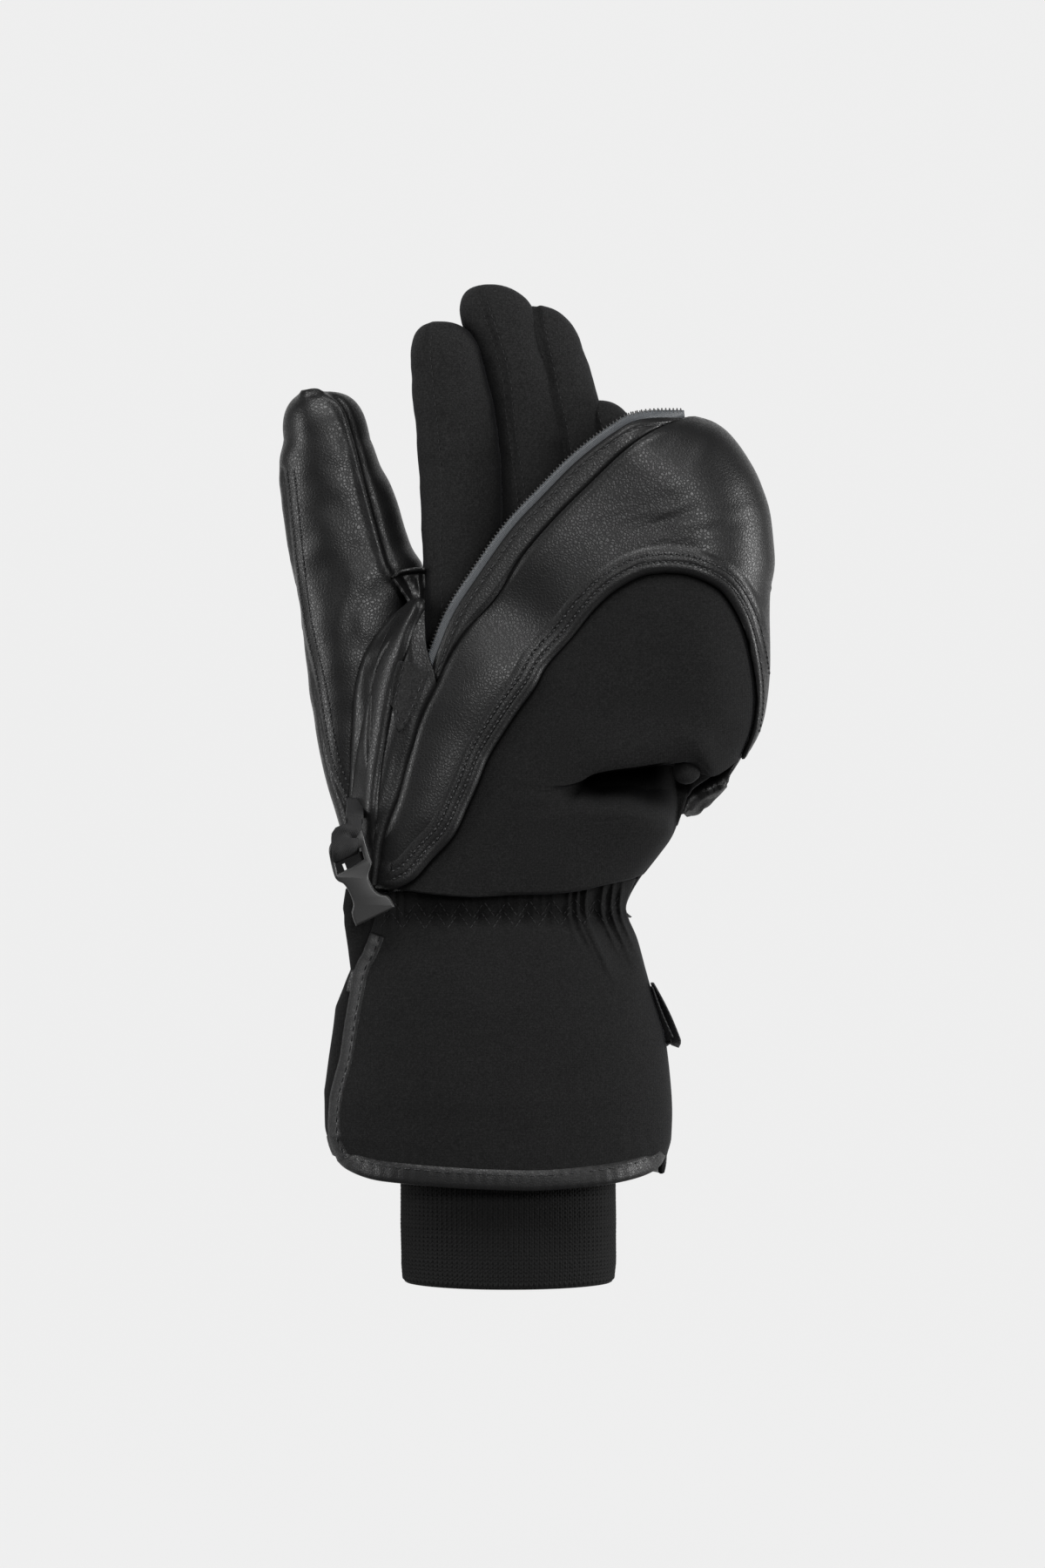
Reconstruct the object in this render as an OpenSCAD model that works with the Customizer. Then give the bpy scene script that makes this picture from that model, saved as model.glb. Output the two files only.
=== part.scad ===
// Convertible ski glove: a softshell finger glove inside a leather mitten hood that unzips.
// X runs across the hand, away from the thumb. +Y is the palm side, -Y the back of the hand.
// +Z runs from the wrist to the fingertips. The origin is the centre of the cuff's mouth.

/* [Cuff and gauntlet] */
// Width of the knitted cuff
cuff_w = 68; // [62:1:72]
// Depth of the knitted cuff from back to palm
cuff_d = 40; // [36:1:42]
// Height of the gauntlet hem above the cuff's mouth
hem_z = 35; // [30:1:40]
// Height of the wrist line, where the gauntlet meets the hand
wrist_z = 118; // [116:1:120]
// Width of the leather hem binding
binding_w = 6; // [4:1:8]

/* [Shell and lining] */
// Thickness of the leather and softshell outer layers
shell_t = 1.8; // [1.4:0.2:2]
// Thickness of the inner glove's cloth
cloth_t = 1.2; // [1:0.1:1.4]
// Thickness of the fleece lining
fleece_t = 1.4; // [1:0.1:1.6]
// Thickness of the waterproof membrane
membrane_t = 0.4; // [0.3:0.1:0.5]

/* [Hood] */
// Half depth of the mitten hood
hood_d = 20; // [20:0.5:22]
// Distance from the hood's outer edge over which it closes
hood_round = 24; // [20:1:28]

/* [Fingers] */
// How far each finger bends at its joint
finger_bend = 60; // [40:5:65]
// How far the thumb bends at its joint
thumb_bend = 45; // [30:5:50]
// How far the little finger bends inside the hood
little_bend = 15; // [10:5:15]

/* [Clip] */
// Width of the webbing loop
web_w = 10; // [9:0.5:10.5]
// Thickness of the webbing
web_t = 1; // [0.8:0.1:1.2]
// Radius of the bar that the loop goes round
bar_r = 1.2; // [1:0.1:1.3]
// Lean of the hanging clip from vertical
clip_lean = 21; // [15:1:25]

/* [Hidden] */

gap = 0.3;              // clearance between parts that move on each other
oval_p = 0.85;          // roundness of the oval sections: 1 is an ellipse, less is boxier
pivot = [-73.4, 177.5]; // X and Z of the line that the hood turns about
fold_a = -10.5;         // direction from the pivot to the hood's lower rim
rim_drop = 1;           // the hand's shell stops this far below that rim
black = [0.08, 0.08, 0.085];
leather = [0.06, 0.06, 0.065];
knit = [0.05, 0.05, 0.055];
fleece = [0.16, 0.16, 0.17];
tape_grey = [0.3, 0.31, 0.33];

// ---- Outlines: pairs of height and half size or edge, read with lookup() ----

cuff_taper = [[0, 0], [60, 0.5], [112, 2]];
gaunt_left = [[30, -51], [48, -57], [66, -55.5], [84, -52], [102, -48.5], [120, -45.5]];
gaunt_left_palm = [[30, -52], [50, -58.5], [66, -59], [79, -57], [95, -53], [120, -48]];
gaunt_right = [[30, 50], [45, 52], [56, 52.6], [74, 51.2], [92, 46.8], [101, 44.2], [120, 39]];
gaunt_depth = [[30, 32], [60, 30], [90, 26], [120, 21]];
hand_left = [[116, -47], [130, -50], [150, -52], [175, -52]];
hand_right = [[116, 39.5], [124, 38.5], [132, 43.5], [140, 49.5], [150, 54], [165, 56]];
hand_depth = [[116, 21], [135, 20.3], [175, 19]];
back_seam = [[116, -44], [128, -36.5], [137, -25], [145, -18], [165, -10]];
inner_left = [[126, -40], [150, -43], [168, -27], [215, -26]];
inner_right = [[126, 33], [140, 43], [150, 48], [215, 52]];

// Radius from the pivot against direction, for the hood's edges
close_r = [[-12, 136], [-7, 144], [-3, 149], [7, 157], [19, 166], [24, 171], [29, 173], [34, 171], [44, 171]];
outer_r = [[-12, 136], [-7, 144], [-3, 149], [7, 157], [19, 166], [24, 171], [29, 173], [34.5, 171],
    [38, 163], [42, 149], [43, 146]];
seam_in_r = [[-12, 65], [-7, 66.5], [0, 71], [10, 82], [18, 97], [23, 114]];
seam_out_r = [[-12, 134], [-7, 142], [0, 148], [5, 151], [12, 151.5], [18, 148], [21, 140], [23, 130]];
palm_in_r = [[-12, 72], [17, 72], [32, 85], [37, 92], [40, 100], [43, 109]];
// Hood leather: stations [inner direction, inner radius, outer direction, outer radius]
leather_run = [[-10.5, 65.5, -10.5, 42.5], [-3, 69, -1, 44.5], [5, 76, 8, 46.5], [12, 85, 17, 50],
    [18, 97, 27, 54], [21.5, 108, 35.5, 66], [23.3, 117, 40, 84], [23.6, 122, 42.3, 104],
    [23.5, 126, 42.5, 128], [22.8, 131, 42, 149], [21.5, 138, 38, 163], [20, 143.5, 34.5, 171],
    [17.5, 148.5, 29, 173], [13, 152, 22, 169.5], [7, 152, 12, 161], [0, 148.5, 3, 153.5],
    [-6, 144, -5, 147], [-10.5, 137, -10.5, 138.5]];
// Zip routes in X and Z
back_route = [[-26, 197], [-23, 206.5], [-19, 216.5], [-11, 229], [-1, 243], [10, 254.5], [20.5, 265.5],
    [32, 274.5], [38, 277.5], [47, 278], [55, 277.8], [60, 277]];
palm_route = [[4, 249.2], [7, 252.5], [14, 259], [25, 269], [36, 278.5], [44, 279.8], [52, 278.5]];

// Finger stalls: [centre line, half width, centre depth, half depth, foot, joint, shaft end, bend]
index_s = [[[213, -15], [298, -20.5]], [[213, 10], [298, 9.8]], [[213, 0], [298, 0]],
    [[213, 10], [298, 8.5]], 213, 256, 298.4, finger_bend];
middle_s = [[[213, 8], [311, -1.5]], [[213, 10], [311, 9.8]], [[213, 0], [311, 0]],
    [[213, 10.5], [311, 8.5]], 213, 271, 311.4, finger_bend];
ring_s = [[[213, 28], [304, 18]], [[213, 9], [304, 8.6]], [[213, 0.5], [304, 1]],
    [[213, 10], [304, 8.5]], 213, 277, 304.5, finger_bend];
little_s = [[[213, 44.8], [276, 37]], [[213, 7], [276, 6.8]], [[213, 1], [276, 1.5]],
    [[213, 8.5], [276, 7.5]], 213, 252, 276.5, little_bend];
thumb_s = [[[172, -45.5], [207, -50.5], [245, -53.5], [272, -59.8]], [[172, 16], [245, 17], [272, 15]],
    [[172, 3], [245, 9], [272, 10]], [[172, 12.5], [245, 13.5], [272, 12]], 172.8, 245, 272.6, thumb_bend];

// ---- General shapes ----

function spow(v, p) = sign(v) * pow(abs(v), p);
function mid(lo, hi, z) = (lookup(z, hi) + lookup(z, lo)) / 2;
function half(lo, hi, z) = (lookup(z, hi) - lookup(z, lo)) / 2;
function oval(cx, cy, a, b, t, z) = [cx + a * spow(cos(t), oval_p), cy + b * spow(sin(t), oval_p), z];
// Angle on the back half of an oval where its X is x
function back_angle(x, cx, a) = 360 - acos(spow((x - cx) / a, 1 / oval_p));
function section(lo, hi, depth, t, z) =
    oval(mid(lo, hi, z), 0, half(lo, hi, z), lookup(z, depth), t, z);

// Solid of thickness t under the curved sheet f(u, v); its outer face is du x dv, raised by lift
module sheet(f, nu, nv, t, lift = 0, wrap = false, cap = false) {
    e = 0.004;
    function nrm(u, v) = let(
        du = wrap ? f(u + e, v) - f(u - e, v) : f(min(u + e, 1), v) - f(max(u - e, 0), v),
        dv = f(u, min(v + e, 1)) - f(u, max(v - e, 0)),
        n = cross(du, dv)) n / norm(n);
    cols = wrap ? nu : nu + 1;
    function grid(h) = [for (i = [0 : cols - 1], j = [0 : nv]) f(i / nu, j / nv) + h * nrm(i / nu, j / nv)];
    top = grid(lift);
    low = grid(lift - t);
    off = len(top);
    function at(i, j) = (i % cols) * (nv + 1) + j;
    function quad(a, b, c, d) = [[a, b, c], [a, c, d]];
    skin = [for (i = [0 : nu - 1], j = [0 : nv - 1]) each concat(
        quad(at(i, j), at(i, j + 1), at(i + 1, j + 1), at(i + 1, j)),
        quad(off + at(i + 1, j), off + at(i + 1, j + 1), off + at(i, j + 1), off + at(i, j)))];
    foot = [for (i = [0 : nu - 1]) each
        quad(at(i, 0), at(i + 1, 0), off + at(i + 1, 0), off + at(i, 0))];
    head = cap ? [for (i = [0 : nu - 1]) each [
            [at(i + 1, nv), at(i, nv), 2 * off],
            [off + at(i, nv), off + at(i + 1, nv), 2 * off + 1]]]
        : [for (i = [0 : nu - 1]) each
            quad(at(i + 1, nv), at(i, nv), off + at(i, nv), off + at(i + 1, nv))];
    ends = wrap ? [] : [for (j = [0 : nv - 1]) each concat(
        quad(at(0, j + 1), at(0, j), off + at(0, j), off + at(0, j + 1)),
        quad(at(nu, j), at(nu, j + 1), off + at(nu, j + 1), off + at(nu, j)))];
    function ring_mid(g) = [for (k = [0 : 2]) g[at(0, nv)][k] / 2 + g[at(floor(nu / 2), nv)][k] / 2];
    polyhedron(points = concat(top, low, [ring_mid(top), ring_mid(low)]),
        faces = concat(skin, foot, head, ends));
}

// Bar of constant profile along a route: profile points are [along the route's left, along Y]
module bar(route, depth, profile) {
    n = len(route);
    m = len(profile);
    function dir(i) = let(d = route[min(i + 1, n - 1)] - route[max(i - 1, 0)]) d / norm(d);
    pts = [for (i = [0 : n - 1], q = profile) let(d = dir(i))
        [route[i][0] - d[1] * q[0], depth(route[i]) + q[1], route[i][1] + d[0] * q[0]]];
    faces = concat(
        [for (i = [0 : n - 2], k = [0 : m - 1]) each let(k2 = (k + 1) % m,
            a = i * m + k, b = i * m + k2, c = (i + 1) * m + k2, d = (i + 1) * m + k) [[a, b, c], [a, c, d]]],
        [[for (k = [m - 1 : -1 : 0]) k]], [[for (k = [0 : m - 1]) (n - 1) * m + k]]);
    polyhedron(points = pts, faces = faces);
}

// Box between two corners
module block(lo, hi) {
    translate(lo) cube(hi - lo);
}

// ---- Cuff and gauntlet ----

cuff_f = function(u, v) let(z = 112 * v, k = lookup(z, cuff_taper))
    oval(0, 0, cuff_w / 2 - k / 2, cuff_d / 2 - k, 360 * u, z);

module knit_cuff() {
    color(knit) sheet(cuff_f, 32, 5, 2.4, wrap = true);
}

// Height of the hem: it sweeps up a little towards the slit
function hem(t) = hem_z + 5 * pow(max(0, -cos(t)), 6);
gaunt_back_f = function(u, v) let(t = 182 + 177.2 * u, z0 = hem(t), z = z0 + (wrist_z - 0.5 - z0) * v)
    section(gaunt_left, gaunt_right, gaunt_depth, t, z);
gaunt_palm_f = function(u, v) let(t = 0.8 + 175.2 * u, z0 = hem(t), z = z0 + (wrist_z - 0.5 - z0) * v)
    section(gaunt_left_palm, gaunt_right, gaunt_depth, t, z);

module gauntlet_back() {
    color(black) sheet(gaunt_back_f, 20, 6, shell_t);
}

module gauntlet_palm() {
    color(black) sheet(gaunt_palm_f, 20, 6, shell_t);
}

// A binding lies on the layer's outer face along its edge
bind_t = 0.8;
bind_part = binding_w / (wrist_z - hem_z);

module hem_binding_back() {
    color(leather) sheet(function(u, v) gaunt_back_f(0.03 + 0.97 * u, bind_part * v), 20, 1,
        bind_t, lift = bind_t + 0.25);
}

module hem_binding_palm() {
    color(leather) sheet(function(u, v) gaunt_palm_f(0.97 * u, bind_part * v), 20, 1,
        bind_t, lift = bind_t + 0.25);
}

module slit_binding_back() {
    color(leather) sheet(function(u, v) gaunt_back_f(0.025 * u, 0.95 * v), 1, 8,
        bind_t, lift = bind_t + 0.25);
}

module slit_binding_palm() {
    color(leather) sheet(function(u, v) gaunt_palm_f(0.975 + 0.025 * u, 0.95 * v), 1, 8,
        bind_t, lift = bind_t + 0.25);
}

// ---- Hand ----

// Upper rim of the hand's outer shell: the hood's lower rim, less the drop
function rim_z(t) = let(x = mid(hand_left, hand_right, 160) + half(hand_left, hand_right, 160)
    * spow(cos(t), oval_p)) pivot[1] + (x - pivot[0]) * tan(fold_a) - rim_drop;
function hand_f(t, v) = section(hand_left, hand_right, hand_depth, t, wrist_z + (rim_z(t) - wrist_z) * v);
function seam_angle(z) = back_angle(lookup(z, back_seam), mid(hand_left, hand_right, z),
    half(hand_left, hand_right, z));
// The seam's angle at share v of the way up, from the seam's own height there
function seam_t(v) = seam_angle(wrist_z + (165 - wrist_z) * v);

module back_panel() {
    color(black) sheet(function(u, v) let(s = seam_t(v) + 0.5) hand_f(s + (359.2 - s) * u, v), 14, 7, shell_t);
}

module side_leather() {
    color(leather) sheet(function(u, v) let(s = seam_t(v) - 0.5) hand_f(183 + (s - 183) * u, v), 8, 7, shell_t);
}

module palm_leather() {
    color(leather) sheet(function(u, v) hand_f(0.8 + 176.2 * u, v), 20, 7, shell_t);
}

module palm_patch() {
    color(leather) sheet(function(u, v) hand_f(45 + 80 * u, 0.15 + 0.7 * v), 10, 4, 1, lift = 1.1);
}

module wrist_elastic() {
    color(black) sheet(function(u, v) section(hand_left, hand_right, hand_depth, 360 * u,
        wrist_z + 0.3 + 6 * v), 28, 1, 0.8, lift = -shell_t - 0.6, wrap = true);
}

inner_f = function(u, v) let(z = 126 + 86 * v) oval(mid(inner_left, inner_right, z), 0,
    half(inner_left, inner_right, z), 14, 360 * u, z);

module inner_hand() {
    color(black) sheet(inner_f, 28, 6, cloth_t, wrap = true);
}

module membrane() {
    color(tape_grey) sheet(inner_f, 28, 6, membrane_t, lift = -cloth_t - 0.3, wrap = true);
}

module hand_lining() {
    color(fleece) sheet(inner_f, 28, 6, fleece_t, lift = -cloth_t - membrane_t - 0.6, wrap = true);
}

// Leather facing along the palm side of the zip, between the thumb and the hood
module zip_facing() {
    color(leather) sheet(function(u, v) inner_f((100 + 85 * u) / 360, 0.55 + 0.43 * v), 10, 5, 1, lift = 1.4);
}

// ---- Thumb and finger stalls ----

// Height added above the joint on the palm side, so that the stall can fold
function notch(s, t) = max(0, sin(t)) * lookup(s[5], s[3]) * tan(s[7] / 2 + 1.5) + gap / 2;
function stall_at(s, t, z, k = 1) = oval(lookup(z, s[0]), lookup(z, s[2]), lookup(z, s[1]) * k,
    lookup(z, s[3]) * k, t, z);
function base_f(s, u, v) = let(t = 360 * u, top = s[5] - notch(s, t)) stall_at(s, t, s[4] + (top - s[4]) * v);
shaft_part = 0.45;
function tip_f(s, u, v) = let(t = 360 * u, low = s[5] + notch(s, t), a = lookup(s[6], s[1]))
    v <= shaft_part ? stall_at(s, t, low + (s[6] - low) * v / shaft_part)
    : let(w = 88 * (v - shaft_part) / (1 - shaft_part))
        [stall_at(s, t, s[6], cos(w))[0], stall_at(s, t, s[6], cos(w))[1], s[6] + a * sin(w)];

module stall_base(s) {
    color(black) sheet(function(u, v) base_f(s, u, v), 16, 3, cloth_t, wrap = true);
}

module stall_tip(s) {
    sheet(function(u, v) tip_f(s, u, v), 16, 9, cloth_t, wrap = true, cap = true);
}

module stall_tip_lining(s) {
    color(fleece) sheet(function(u, v) tip_f(s, u, 0.02 + 0.98 * v), 12, 6, fleece_t, lift = -cloth_t - 0.8,
        wrap = true, cap = true);
}

module stall_bases() {
    for (s = [index_s, middle_s, ring_s, little_s]) stall_base(s);
}

module stall_linings() {
    for (s = [index_s, middle_s, ring_s, little_s, thumb_s])
        color(fleece) sheet(function(u, v) base_f(s, u, 0.98 * v), 12, 2, fleece_t,
            lift = -shell_t - 0.4, wrap = true);
}

module thumb_base() {
    color(leather) sheet(function(u, v) base_f(thumb_s, u, v), 20, 5, shell_t, wrap = true);
}

module index_tip() { color(black) stall_tip(index_s); }
module middle_tip() { color(black) stall_tip(middle_s); }
module ring_tip() { color(black) stall_tip(ring_s); }
module little_tip() { color(black) stall_tip(little_s); }
module thumb_tip() {
    color(leather) sheet(function(u, v) tip_f(thumb_s, u, v), 20, 9, shell_t - 0.4, wrap = true, cap = true);
}
module index_lining() { stall_tip_lining(index_s); }
module middle_lining() { stall_tip_lining(middle_s); }
module ring_lining() { stall_tip_lining(ring_s); }
module little_lining() { stall_tip_lining(little_s); }
module thumb_lining() { stall_tip_lining(thumb_s); }

// Folded leather at the foot of the crotch between thumb and zip
module crotch_fold() {
    color(leather) hull() {
        translate([-33.5, -10, 186]) sphere(r = 2, $fn = 24);
        translate([-32, -10, 197]) sphere(r = 2.4, $fn = 24);
    }
}

// Small leather tab above the slit
module side_tab() {
    color(leather) block([-54.5, -6, 95], [-53.3, -1, 101]);
}

// ---- Hood ----

function polar(a, r) = [pivot[0] + r * cos(a), pivot[1] + r * sin(a)];
// Half depth of the hood at a point in X and Z: full in the middle, closing to its outer edge
function hood_y(q) = let(d = q - pivot, r = norm(d), a = atan2(d[1], d[0]),
    k = min(1, max(0.002, (lookup(a, close_r) - r) / hood_round))) hood_d * sqrt(1 - (1 - k) * (1 - k));
function back_point(q) = [q[0], -hood_y(q), q[1]];
function palm_point(q) = [q[0], hood_y(q), q[1]];
function mix(a, b, k) = a + (b - a) * k;
function run_at(s, k) = let(i = min(floor(s), len(leather_run) - 2), f = s - i,
    p = mix(leather_run[i], leather_run[i + 1], f))
    mix(polar(p[0], p[1]), polar(p[2], p[3]), k);
function panel_q(u, v) = let(a = mix(fold_a, 22.6, v))
    polar(a, mix(lookup(a, seam_in_r) + 0.9, lookup(a, seam_out_r) - 0.9, u));
function palm_q(u, v) = let(a = mix(fold_a, 42.4, u)) polar(a, mix(lookup(a, palm_in_r), lookup(a, outer_r), v));
function liner_q(u, v) = let(a = mix(fold_a + 0.5, 41.5, v))
    polar(a, mix(lookup(a, palm_in_r), lookup(a, outer_r) - 12, u));

module hood_leather() {
    n = len(leather_run) - 1;
    color(leather) sheet(function(u, v) back_point(run_at(n * u, v)), 2 * n, 4, shell_t);
}

module hood_panel() {
    color(black) sheet(function(u, v) back_point(panel_q(u, v)), 14, 9, shell_t);
}

module hood_palm() {
    color(leather) sheet(function(u, v) palm_point(palm_q(u, v)), 16, 12, shell_t);
}

module hood_lining() {
    color(fleece) {
        sheet(function(u, v) back_point(liner_q(u, v)), 10, 12, 1, lift = -shell_t - 0.9);
        sheet(function(u, v) palm_point(liner_q(v, u)), 12, 10, 1, lift = -shell_t - 0.9);
    }
}

module zip_garage() {
    color(black) block([-35.5, -hood_d - 1.2, 180], [-27.5, -hood_d - 0.1, 199]);
}

// ---- Zip ----

tape_w = 4;
tape_t = 0.8;
coil_r = 1.1;
tape_profile = [[0.8, -tape_t / 2], [0.8, tape_t / 2], [0.8 + tape_w, tape_t / 2], [0.8 + tape_w, -tape_t / 2]];
coil_profile = [for (k = [0 : 7]) [tape_w + 2.1 + coil_r * cos(45 * k), -coil_r * sin(45 * k)]];

module zip_tape_back() {
    color(tape_grey) bar(back_route, function(q) -hood_y(q) + 0.9, tape_profile);
}

module zip_coil_back() {
    color(tape_grey) bar(back_route, function(q) -hood_y(q) + 0.9, coil_profile);
}

module zip_tape_palm() {
    color(tape_grey) bar(palm_route, function(q) hood_y(q) - 0.9, tape_profile);
}

module zip_coil_palm() {
    color(tape_grey) bar(palm_route, function(q) hood_y(q) - 0.9, coil_profile);
}

// Straight closed end of the zip, on the palm side of the hood's tip
run_from = [56, 21.9, 270];
run_lean = 38;   // below the X axis
run_in = 11.5;    // back towards the hood's edge
travel = 10;

module on_run() {
    translate(run_from) rotate([0, run_lean, 0]) rotate([0, 0, -run_in]) children();
}

module zip_stop() {
    color(tape_grey) on_run() {
        rotate([0, 90, 0]) cylinder(r = coil_r, h = 24, $fn = 24);
        translate([21.5, -2, -1.5]) cube([2.5, 4, 3]);
    }
}

module zip_slider() {
    color(black) on_run() difference() {
        union() {
            translate([1, -1.7, -3.5]) cube([9, 3.9, 7]);
            translate([1, -2.2, -2.4]) cube([9, 4.4, 4.8]);
            translate([3, 2, -2.4]) cube([3, 2.6, 1.2]);
            translate([3, 2, 1.2]) cube([3, 2.6, 1.2]);
            translate([4.5, 3.6, -2.4]) cylinder(r = 0.7, h = 4.8, $fn = 32);
        }
        rotate([0, 90, 0]) cylinder(r = coil_r + gap, h = 24, $fn = 24);
    }
}

module zip_puller() {
    color(black) on_run() difference() {
        union() {
            translate([4.5, 3.6, -1]) cylinder(r = 1.3, h = 2, $fn = 32);
            translate([5.2, 3.1, -1]) cube([3, 1, 2]);
            translate([7.5, 3.1, -2.2]) cube([13, 1, 4.4]);
        }
        translate([4.5, 3.6, -3]) cylinder(r = 0.76, h = 6, $fn = 32);
        translate([17, 5, 0]) rotate([90, 0, 0]) cylinder(r = 1.2, h = 4, $fn = 32);
    }
}

// ---- Clip ----

clip_at = [-50.9, -20.5, 143.6];   // centre of the clip's bar
web_up = 7.5;                      // from the bar to the sewn end
arm_in = web_w / 2 + 0.5;          // inner face of the frame's arms
arm_out = 8.3;                     // outer face
sock_t = 5.6;                      // thickness of the socket
sock_l = 19;                       // length of the socket's body

module at_clip() {
    translate(clip_at) rotate([0, -clip_lean, 0]) children();
}

module web_loop() {
    r = bar_r + 0.1;
    color(black) at_clip() rotate([90, 0, 90]) linear_extrude(web_w, center = true) difference() {
        hull() {
            circle(r = r + web_t, $fn = 48);
            translate([0, web_up]) circle(r = web_t, $fn = 48);
        }
        hull() {
            circle(r = r, $fn = 48);
            translate([0, web_up - 4]) circle(r = 0.3, $fn = 24);
        }
    }
}

// The loop's two ends, sewn together into the seam
module web_anchor() {
    color(black) at_clip() translate([-web_w / 2, -2, web_up + web_t + gap])
        cube([web_w, 4, 3.2]);
}

module clip_socket() {
    color(black) at_clip() difference() {
        union() {
            rotate([0, 90, 0]) cylinder(r = bar_r, h = 2 * arm_in + 2, center = true, $fn = 48);
            for (s = [-1, 1]) translate([s > 0 ? arm_in : -arm_out, -sock_t / 2, -6])
                cube([arm_out - arm_in, sock_t, 8]);
            translate([0, 0, -4 - sock_l]) linear_extrude(sock_l)
                offset(r = 1.5, $fn = 24) square([2 * arm_out - 3, sock_t - 3], center = true);
        }
        translate([-6.2, -1.8, -5 - sock_l]) cube([12.4, 3.6, sock_l - 2]);
        for (s = [-1, 1]) translate([s * arm_out - 1.6, -1.4, -18]) cube([3.2, 2.8, 8]);
    }
}

// Folded ribbon to pull the gauntlet over a sleeve, sewn to its outer side
module pull_tab() {
    color(black) translate([47.6, 0, 96.5]) rotate([0, -26, 0]) difference() {
        translate([-0.9, -5, -21]) cube([1.8, 10, 21]);
        translate([-0.3, -6, -19]) cube([0.6, 12, 15]);
    }
}

knit_cuff();
gauntlet_back();
gauntlet_palm();
hem_binding_back();
hem_binding_palm();
slit_binding_back();
slit_binding_palm();
wrist_elastic();
back_panel();
side_leather();
palm_leather();
palm_patch();
zip_facing();
thumb_base();
crotch_fold();
side_tab();
inner_hand();
membrane();
hand_lining();
stall_bases();
stall_linings();
hood_leather();
hood_panel();
hood_palm();
hood_lining();
zip_garage();
zip_tape_back();
zip_coil_back();
zip_tape_palm();
zip_coil_palm();
zip_stop();
zip_slider();
zip_puller();
index_tip();
index_lining();
middle_tip();
middle_lining();
ring_tip();
ring_lining();
little_tip();
little_lining();
thumb_tip();
thumb_lining();
web_anchor();
web_loop();
clip_socket();
pull_tab();
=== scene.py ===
"""Looks of the convertible ski glove: leather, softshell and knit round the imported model.

Lengths in this script are millimetres in the model's own frame, and metres only where Blender needs them.
X runs across the hand, away from the thumb; -Y is the back of the hand; +Z runs to the fingertips.
"""
import math

import bmesh
import bpy
import numpy as np
from mathutils import Matrix, Vector, noise
from mathutils.bvhtree import BVHTree


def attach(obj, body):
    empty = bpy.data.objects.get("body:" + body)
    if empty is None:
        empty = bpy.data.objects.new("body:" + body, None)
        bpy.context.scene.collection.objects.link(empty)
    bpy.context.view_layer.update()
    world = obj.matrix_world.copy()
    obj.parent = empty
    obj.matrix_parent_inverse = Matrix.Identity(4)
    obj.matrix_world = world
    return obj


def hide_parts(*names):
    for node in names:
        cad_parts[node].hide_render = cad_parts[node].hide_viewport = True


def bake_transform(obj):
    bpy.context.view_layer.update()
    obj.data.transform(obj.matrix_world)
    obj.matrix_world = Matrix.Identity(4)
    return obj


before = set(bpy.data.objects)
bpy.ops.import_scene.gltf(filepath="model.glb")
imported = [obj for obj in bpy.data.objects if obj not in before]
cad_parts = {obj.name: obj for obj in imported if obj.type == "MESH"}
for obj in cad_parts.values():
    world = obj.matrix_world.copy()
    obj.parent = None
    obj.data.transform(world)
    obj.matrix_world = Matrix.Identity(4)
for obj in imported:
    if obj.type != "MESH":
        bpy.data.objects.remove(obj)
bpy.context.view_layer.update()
MM = 0.001


# ---------------------------------------------------------------- curves and fields

def unit(d):
    """Directions of length 1, along the last axis."""
    return d / np.maximum(np.linalg.norm(d, axis=-1, keepdims=True), 1e-9)


def bell(x, width):
    """1 where x is 0, fading out on both sides."""
    return np.exp(-(x / width) ** 2)


def smooth(lo, hi, x):
    t = np.clip((x - lo) / (hi - lo), 0, 1)
    return t * t * (3 - 2 * t)


def arc_length(path):
    """How far along a path each of its points is."""
    return np.concatenate([[0], np.cumsum(np.linalg.norm(np.diff(path, axis=0), axis=1))])


def read_at(at, s, values):
    """Rows of values, given at distances s, read at other distances."""
    return np.stack([np.interp(at, s, column) for column in values.T], -1)


def tangents(path):
    return unit(np.gradient(path, axis=0))


def left_of(path):
    """Directions to the left of a path in X and Z."""
    t = tangents(path)
    return np.stack([-t[:, 1], t[:, 0]], 1)


def averaged(rows, width):
    """Running mean over an odd number of rows."""
    rows = np.vstack([rows[:1]] * (width // 2) + [rows] + [rows[-1:]] * (width // 2))
    return np.stack([np.convolve(column, np.ones(width) / width, "valid") for column in rows.T], 1)


def curve_at(points, u):
    """Points of the smooth curve through the given ones, at shares u of their count."""
    p = np.array(points, float)
    e = np.vstack([2 * p[0] - p[1], p, 2 * p[-1] - p[-2]])
    s = np.clip(np.asarray(u, float), 0, 1) * (len(p) - 1)
    i = np.minimum(s.astype(int), len(p) - 2)
    t = (s - i)[:, None]
    a, b, c, d = e[i], e[i + 1], e[i + 2], e[i + 3]
    return 0.5 * (2 * b + (c - a) * t + (2 * a - 5 * b + 4 * c - d) * t**2 + (3 * b - a - 3 * c + d) * t**3)


def spline(points, n):
    """n points evenly spaced along the smooth curve through the given ones."""
    fine = curve_at(points, np.linspace(0, 1, 24 * len(points)))
    s = arc_length(fine)
    return read_at(np.linspace(0, s[-1], n), s, fine)


def distance(q, line):
    """Distance from points q to a polyline, both in X and Z."""
    flat = q.reshape(-1, 2)
    best = np.full(len(flat), 1e9)
    for a, b in zip(line[:-1], line[1:]):
        d = b - a
        t = np.clip(((flat - a) @ d) / max(d @ d, 1e-9), 0, 1)
        best = np.minimum(best, np.linalg.norm(flat - a - t[:, None] * d, axis=1))
    return best.reshape(q.shape[:-1])


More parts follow.
